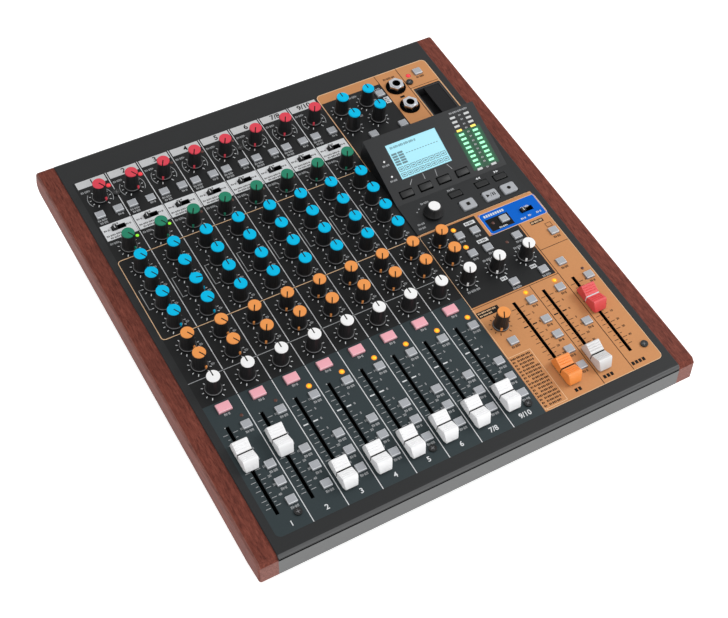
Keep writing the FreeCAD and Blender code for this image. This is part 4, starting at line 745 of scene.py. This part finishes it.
def fader_shape(look, line):
    """Fader cap at the origin: two ridges, a saddle between them and ribs on both halves."""
    s = Shape()
    half, reach, foot, saddle, ridge = 5.4, 11.4, 1.3, 7.25, 9.8
    profile = [(-reach, foot, 4.3), (-reach, 2.8, 4.5), (-8.9, 8.9, half), (-8.4, 9.7, half),
               (-7.6, 10.0, half), (-6.9, ridge, half), (-0.7, saddle, half), (-0.5, 6.9, half),
               (0.5, 6.9, half), (0.7, saddle, half), (6.9, ridge, half), (7.6, 10.0, half),
               (8.4, 9.7, half), (8.9, 8.9, half), (reach, 2.8, 5.0), (reach, foot, 5.0)]
    count = len(profile)
    left = [(-w, y, z) for y, z, w in profile]
    right = [(w, y, z) for y, z, w in profile]
    for i in range(count - 1):
        middle = profile[i][0] == -0.5 and profile[i + 1][0] == 0.5
        s.add([left[i], right[i], right[i + 1], left[i + 1]], [(0, 1, 2, 3)], line if middle else look)
    for side in (left, right):
        low = [(x, y, foot) for x, y, _ in side]
        faces = [(i, i + 1, count + i + 1, count + i) for i in range(count - 1)]
        s.add(list(side) + low, faces, look)
    for sign in (-1, 1):
        for k in range(3):
            y = sign * (2.6 + 1.7 * k)
            z = saddle + (abs(y) - 0.7) * (ridge - saddle) / 6.2
            edges = ((y - 0.35, z - 0.15), (y, z + 0.5), (y + 0.35, z + 0.05))
            near, top, far = ([(-4.6, *edge), (4.6, *edge)] for edge in edges)
            s.add([*near, *reversed(top), *reversed(far)], [(0, 1, 2, 3), (3, 2, 4, 5)], look)
    for x in (-half - 0.02, half + 0.02):
        s.add([(x, -0.4, 2.2), (x, 0.4, 2.2), (x, 0.4, 6.7), (x, -0.4, 6.7)], [(0, 1, 2, 3)], line)
    s.prism([(-0.7, -2.5), (0.7, -2.5), (0.7, 2.5), (-0.7, 2.5)], -9.0, 1.6, "steel")
    return s


def faders():
    for c, rest in enumerate(CHANNEL_FADER_RESTS):
        s = Shape()
        s.join(fader_shape("white_fader", "dark"), Matrix.Translation((PITCH * c + FADER_X, rest, 0)))
        s.piece(f"fader_{c + 1}_look", f"fader_{c + 1}", (f"fader_{c + 1}",), smooth=30)
    for name, (x, rest, look) in MASTER_FADERS.items():
        s = Shape()
        line = "white" if name == "fader_main" else "dark"
        s.join(fader_shape(look, line), Matrix.Translation((x, rest, 0)))
        s.piece(name + "_look", name, (name,), smooth=30)


def switch_levers():
    """Black nibs of the slide switches, each with a white stripe."""
    s = Shape()
    for x, y in channel_spots(*SLIDE_SWITCH) + [MASTER_SWITCH]:
        nib = Shape()
        nib.prism(rounded(3.8, 3.6, 0.6), -3.0, 2.15, "black_key", bevel=0.4)
        nib.rect(-0.3, 0.3, -1.3, 1.3, 2.18, "white")
        s.join(nib, Matrix.Translation((x + SLIDER_REST, y, 0)))
    s.piece("switch_levers", "line_switches", ("line_switches",))


# Lamps and display

def lamp_dome(s, x, y, look, radius=1.25):
    """Stem through the panel with a low dome on it, and a painted glow on the print around a bright one."""
    if look in ("amber_lit", "red_lit"):
        s.ring(x, y, radius - 0.1, radius + 0.8, MARK, look.replace("lit", "halo"), steps=20)
    profile = [(radius, -3.0), (radius, 0.2), (radius * 0.8, 0.38), (radius * 0.4, 0.48)]
    s.lathe((x, y, 0), profile, [look] * 3, steps=20)


def lamps():
    s = Shape()
    for c in range(CHANNELS):
        left, live = PITCH * c, c < 2
        lamp_dome(s, left + 22.9, 313.1, "red_lit" if live else "lamp_off")
        lamp_dome(s, left + 22.1, 260.5, "green_lit" if live else "lamp_off")
        lamp_dome(s, left + 20.2, 91.2, "lamp_off" if live else "amber_lit")
    for x, y, look in ((230.8, 162.9, "amber_lit"), (230.8, 145.3, "amber_lit"), (260.7, 135.9, "lamp_off"),
                       (247.4, 90.9, "amber_lit"), (272.4, 90.8, "amber_lit"), (297.3, 90.8, "lamp_off"),
                       (282.7, 315.4, "red_lit"), (261.2, 155.8, "lamp_off")):
        lamp_dome(s, x, y, look)
    for x, y in STATUS_LAMPS:
        stem = Shape()
        stem.lathe((0, 0, 0), [(0.8, -2.0), (0.8, 0.1), (0.5, 0.2)], ["status_white"] * 2, steps=16)
        s.join(stem, on_display(x, y))
    s.piece("lamp_lenses", "chassis", ("indicator_lamps",), smooth=40)


def meters():
    """Bars let into the slope: green ones with a yellow one above, unlit at the top and the foot."""
    s = Shape()
    for x in METER_COLUMNS:
        for i in range(METER_COUNT):
            look = "meter_off" if i >= 10 or i == 0 else ("meter_yellow" if i == 9 else "meter_green")
            bar = Shape()
            bar.prism([(-2.25, -0.9), (2.25, -0.9), (2.25, 0.9), (-2.25, 0.9)], -0.3, 0.12, look, bevel=0.08)
            s.join(bar, on_display(x, METER_FIRST + i * METER_STEP))
    s.piece("meter_bars", "chassis", ("meter_segments",))


def screen_page(s):
    """Plain mixer page: a title row, a rule, a block of values and two rows of boxes."""
    x0, x1 = SCREEN[:2]
    y0, y1 = (display_point(0, y)[1] for y in SCREEN[2:])
    width, height, z = x1 - x0, y1 - y0, -0.2
    s.rect(x0 - 0.2, x1 + 0.2, y0 - 0.2, y1 + 0.2, -0.3, "screen")

    def box(u0, u1, v0, v1):
        s.rect(x0 + u0 * width, x0 + u1 * width, y1 - v1 * height, y1 - v0 * height, z, "screen_ink")

    caption(s, x0 + 0.32 * width, y1 - 0.13 * height, 0.5 * width, "screen_ink", 1.8, z)
    for i in range(12):
        u = 0.29 + 0.055 * i
        box(u, u + 0.035, 0.37, 0.385)
    for column in (0.03, 0.15):
        for row in range(5):
            box(column, column + 0.1, 0.28 + 0.07 * row, 0.33 + 0.07 * row)
    for v0, v1 in ((0.66, 0.78), (0.82, 0.93)):
        for i in range(8):
            left, right = x0 + (0.03 + 0.12 * i) * width, x0 + (0.13 + 0.12 * i) * width
            s.frame(left, right, y1 - v1 * height, y1 - v0 * height, 0.45, z, "screen_ink")
            middle = y1 - (v0 + v1) / 2 * height
            s.rect(left + 1.2, right - 1.2, middle - 0.5, middle + 0.5, z, "screen_ink")


def meter_glow(s):
    """Green haze of the lit bars, painted as a glow on the housing around them."""
    y0, y1 = (display_point(0, METER_FIRST + i * METER_STEP)[1] for i in (0.4, 8.6))
    s.rect(METER_COLUMNS[0] - 5.2, METER_COLUMNS[1] + 5.2, y0 - 1.5, y1 + 1, 0.03, "meter_haze")
    for x in METER_COLUMNS:
        s.rect(x - 3.5, x + 3.5, y0, y1, 0.05, "meter_glow")


def display_print():
    """Marks on the display housing, and the screen's page."""
    s = Shape()
    screen_page(s)
    meter_glow(s)
    middle = sum(METER_COLUMNS) / 2
    caption(s, middle + 1.0, display_point(0, 251.3)[1], 17.0, "tick", 1.5, 0.07)
    for y in (248.0, 244.4, 240.5, 237.1, 233.7, 229.9, 226.1, 222.7, 219.1, 215.6, 211.7, 208.5, 203.6):
        caption(s, middle + 0.6, display_point(0, y)[1], 2.4, "tick", 1.3, 0.07, 1.2)
    for start, end in (((225.5, 215.3), (222.1, 211.7)), ((235.7, 216.4), (235.4, 211.9)),
                       ((246.3, 216.0), (245.4, 210.8)), ((257.2, 216.3), (259.3, 211.6))):
        s.line(display_point(*start), display_point(*end), 0.45, 0.05, "tick")
    for x, y in STATUS_LAMPS:
        caption(s, x, display_point(0, y)[1] - 3.4, 5.5, "tick", 1.5, 0.05)
    placed = Shape()
    placed.join(s, Matrix.Translation((0, DISPLAY_LEVEL, 0)) @ Matrix.Rotation(DISPLAY_SLOPE, 4, "X"))
    for x, y, width in ((225.0, 194.5, 7.5), (249.3, 196.8, 6.0), (212.0, 177.9, 6.0), (210.8, 174.2, 6.0)):
        caption(placed, x, y, width, "tick", 1.7, FLAT_PLATE)
    for x, y in ((217.8, 191.1), (215.0, 188.9)):
        placed.ring(x, y, 0.0, 0.6, FLAT_PLATE, "tick", steps=8)
    for x, way in ((274.0, -1), (290.4, 1)):
        for step in (-1.1, 0.9):
            tip, back = x + way * (step + 1.0), x + way * (step - 0.8)
            placed.add([(back, 196.2, FLAT_PLATE), (tip, 197.4, FLAT_PLATE), (back, 198.6, FLAT_PLATE)],
                       [(0, 1, 2)], "white")
    placed.piece("display_marks", "chassis")


def soft_keys():
    """Low bevelled keys under the screen."""
    s = Shape()
    for x in SOFT_KEYS_X:
        key = Shape()
        key.prism(rounded(10.4, 5.0, 1.0), -2.6, 0.95, "black_key", bevel=0.5)
        s.join(key, on_display(x, SOFT_KEYS_Y))
    s.piece("soft_keys_look", "soft_keys", ("soft_keys",), smooth=40)


def transport_keys():
    """Three black and three grey keys on the flat plate; the grey ones carry symbols."""
    s = Shape()
    for x, y in FLAT_KEYS:
        key = Shape()
        key.prism(rounded(10.4, 5.0, 1.2), -1.5, 1.7, "black_key", bevel=0.5)
        s.join(key, Matrix.Translation((x, y, 0)))
    for x, y in TRANSPORT_KEYS:
        key = Shape()
        key.prism(rounded(12.0, 9.2, 1.4), -1.5, 2.4, "key", bevel=0.6)
        s.join(key, Matrix.Translation((x, y, 0)))
    z = 2.44
    stop, play, record = TRANSPORT_KEYS
    s.rect(stop[0] - 1.5, stop[0] + 1.5, stop[1] - 1.5, stop[1] + 1.5, z, "dark")
    x, y = play
    s.add([(x - 3.8, y - 1.6, z), (x - 1.0, y, z), (x - 3.8, y + 1.6, z)], [(0, 1, 2)], "dark")
    s.line((x - 0.6, y - 1.8), (x + 0.6, y + 1.8), 0.35, z, "dark")
    for left in (1.4, 2.9):
        s.rect(x + left, x + left + 0.8, y - 1.5, y + 1.5, z, "dark")
    s.ring(record[0], record[1], 0, 1.5, z, "dark", steps=20)
    s.piece("transport_keys_look", "transport_buttons", ("transport_buttons",))


# The case and its carried-over nodes

def rail_look(place, normal):
    """Paler wood on the rounding along the top and on the front-facing end: a painted highlight."""
    rounding = abs(normal.x) > 0.25 and normal.z > 0.25
    return "wood_highlight" if rounding or normal.y < -0.85 else "wood"


def is_rounding(normal):
    """The rounded upper edges of the keys, painted lighter: a painted highlight for the light they catch."""
    return 0.15 < normal.z < 0.92


def key_look(place, normal):
    return "key_highlight" if is_rounding(normal) else "key"


def pink_look(place, normal):
    return "pink_highlight" if is_rounding(normal) else "pink"


def jack_look(place, normal):
    """Nut plated; its bore is painted shade, and the washer under it is dark too."""
    reach = min(math.dist(place[:2], spot) for spot in PHONES_JACKS)
    return "chrome" if 3.4 < reach < 6.6 and place.z > 0.9 else "black_and_painted_shade"


def screw_look(place, normal):
    """Cross recess painted lighter than the black head around it: a painted glint."""
    reach = min(math.dist(place[:2], spot) for spot in PANEL_SCREWS)
    return "rim" if reach < 1.9 and 0.55 < place.z < 1.05 else "screw"


def panel_look(place, normal):
    """Painted highlight: the front and rear bends are painted a lighter grey than the faces next to them, for
    the light they catch.
    """
    return "bend_highlight" if abs(normal.y) > 0.3 and normal.z > 0.3 else "metal"


def pan_look(place, normal):
    """Painted highlight: the front wall is painted a lighter grey for the light it faces; the sides and the
    floor stay dark.
    """
    return "front" if normal.y < -0.5 else "metal"


def board_look(place, normal):
    """What could be seen through the panel's openings is painted black: painted shade."""
    return "black_and_painted_shade" if place.z > -13.0 else "board"


def repaint():
    """Give every CAD node that still shows its material."""
    looks = {
        "rear_panel": "metal", "rubber_feet": "rubber",
        "display_housing": "housing", "card_bay": "bay", "card_door": "flap",
        # The fader tracks are painted near-black: painted shade in the slots.
        "lcd_panel": "screen", "pot_bodies": "steel", "fader_tracks": "black_and_painted_shade", "main_outputs": "shell",
        "microphone_inputs": "shell", "line_sockets": "shell", "utility_sockets": "shell",
        "power_switch": "black_key",
    }
    for name, look in looks.items():
        mesh = nodes[name].data
        mesh.materials.clear()
        mesh.materials.append(MATERIALS[look])
    choices = {
        "side_panel_left": (rail_look, "wood", "wood_highlight"),
        "side_panel_right": (rail_look, "wood", "wood_highlight"),
        "top_panel": (panel_look, "metal", "bend_highlight"),
        "bottom_pan": (pan_look, "metal", "front"),
        "case_screws": (screw_look, "screw", "rim"),
        "channel_buttons": (key_look, "key", "key_highlight"),
        "master_buttons": (key_look, "key", "key_highlight"),
        "record_buttons": (pink_look, "pink", "pink_highlight"),
        "phones_jacks": (jack_look, "chrome", "black_and_painted_shade"),
        "circuit_boards": (board_look, "board", "black_and_painted_shade"),
    }
    to_panel = PANEL.inverted()
    for name, (choose, *kinds) in choices.items():
        mesh = nodes[name].data
        mesh.materials.clear()
        for look in kinds:
            mesh.materials.append(MATERIALS[look])
        for face in mesh.polygons:
            place, normal = to_panel @ face.center, (to_panel.to_3x3() @ face.normal).normalized()
            face.material_index = kinds.index(choose(place, normal))


# Camera, light and floor

# The camera's right, down and forward directions
CAMERA_ROWS = (
    (0.866028, -0.499855, -0.011896), (-0.361773, -0.610016, -0.704983), (0.345132, 0.614838, -0.709124),
)
CAMERA_PLACE = (-0.35947, -0.65332, 0.757997)
LENS = 70.08
LIGHT_TARGET = (0, 0, 0.05)


def camera():
    data = bpy.data.cameras.new("camera")
    data.lens = LENS
    data.sensor_width = 36
    item = bpy.data.objects.new("camera", data)
    right, down, forward = (Vector(row) for row in CAMERA_ROWS)
    turn = Matrix((right, -down, -forward)).transposed().to_4x4()
    item.matrix_world = Matrix.Translation(CAMERA_PLACE) @ turn
    show(item)
    bpy.context.scene.camera = item


def area_light(name, place, size, power):
    """Soft lamp that faces the mixer."""
    data = bpy.data.lights.new(name, "AREA")
    data.shape = "RECTANGLE"
    data.size, data.size_y = size
    data.energy = power
    item = bpy.data.objects.new(name, data)
    item.location = place
    item.rotation_euler = (Vector(LIGHT_TARGET) - Vector(place)).to_track_quat("-Z", "Y").to_euler()
    show(item)


def world_light(strength):
    """Even studio light; what the camera sees directly is white."""
    world = bpy.data.worlds.new("studio")
    bpy.context.scene.world = world
    world.use_nodes = True
    tree = world.node_tree
    made = tree.nodes
    soft = made["Background"]
    soft.inputs["Color"].default_value = (1, 1, 1, 1)
    soft.inputs["Strength"].default_value = strength
    bright = made.new("ShaderNodeBackground")
    bright.inputs["Color"].default_value = (1, 1, 1, 1)
    bright.inputs["Strength"].default_value = 1.0
    path = made.new("ShaderNodeLightPath")
    seen = made.new("ShaderNodeMath")
    seen.operation = "MAXIMUM"
    mirrored = made.new("ShaderNodeMath")
    mirrored.operation = "MAXIMUM"
    tree.links.new(path.outputs["Is Camera Ray"], seen.inputs[0])
    tree.links.new(path.outputs["Is Transmission Ray"], seen.inputs[1])
    tree.links.new(seen.outputs[0], mirrored.inputs[0])
    tree.links.new(path.outputs["Is Glossy Ray"], mirrored.inputs[1])
    mix = made.new("ShaderNodeMixShader")
    tree.links.new(mirrored.outputs[0], mix.inputs["Fac"])
    tree.links.new(soft.outputs[0], mix.inputs[1])
    tree.links.new(bright.outputs[0], mix.inputs[2])
    tree.links.new(mix.outputs[0], made["World Output"].inputs["Surface"])


def floor():
    """Large white floor, so pale that the picture's background stays white."""
    mesh = bpy.data.meshes.new("floor")
    reach = 3.0
    mesh.from_pydata([(-reach, -reach, 0), (reach, -reach, 0), (reach, reach, 0), (-reach, reach, 0)],
                     [], [(0, 1, 2, 3)])
    item = bpy.data.objects.new("floor", mesh)
    show(item)
    material = bpy.data.materials.new("floor_white")
    material.use_nodes = True
    shader = material.node_tree.nodes["Principled BSDF"]
    shader.inputs["Base Color"].default_value = (0.8, 0.8, 0.8, 1)
    shader.inputs["Roughness"].default_value = 0.9
    shader.inputs["Emission Color"].default_value = (1, 1, 1, 1)
    shader.inputs["Emission Strength"].default_value = 0.75
    mesh.materials.append(material)


camera()
repaint()
printed_fields()
front_seam()
printed_marks()
printed_master()
knobs()
encoder()
faders()
lamps()
meters()
display_print()
soft_keys()
transport_keys()
switch_levers()
world_light(0.6)
area_light("key_light", (1.2, -0.4, 1.1), (1.2, 0.8), 12)
area_light("front_light", (-0.5, -1.6, 0.9), (1.6, 0.8), 5)
floor()

scene = bpy.context.scene
scene.view_settings.view_transform = "Standard"
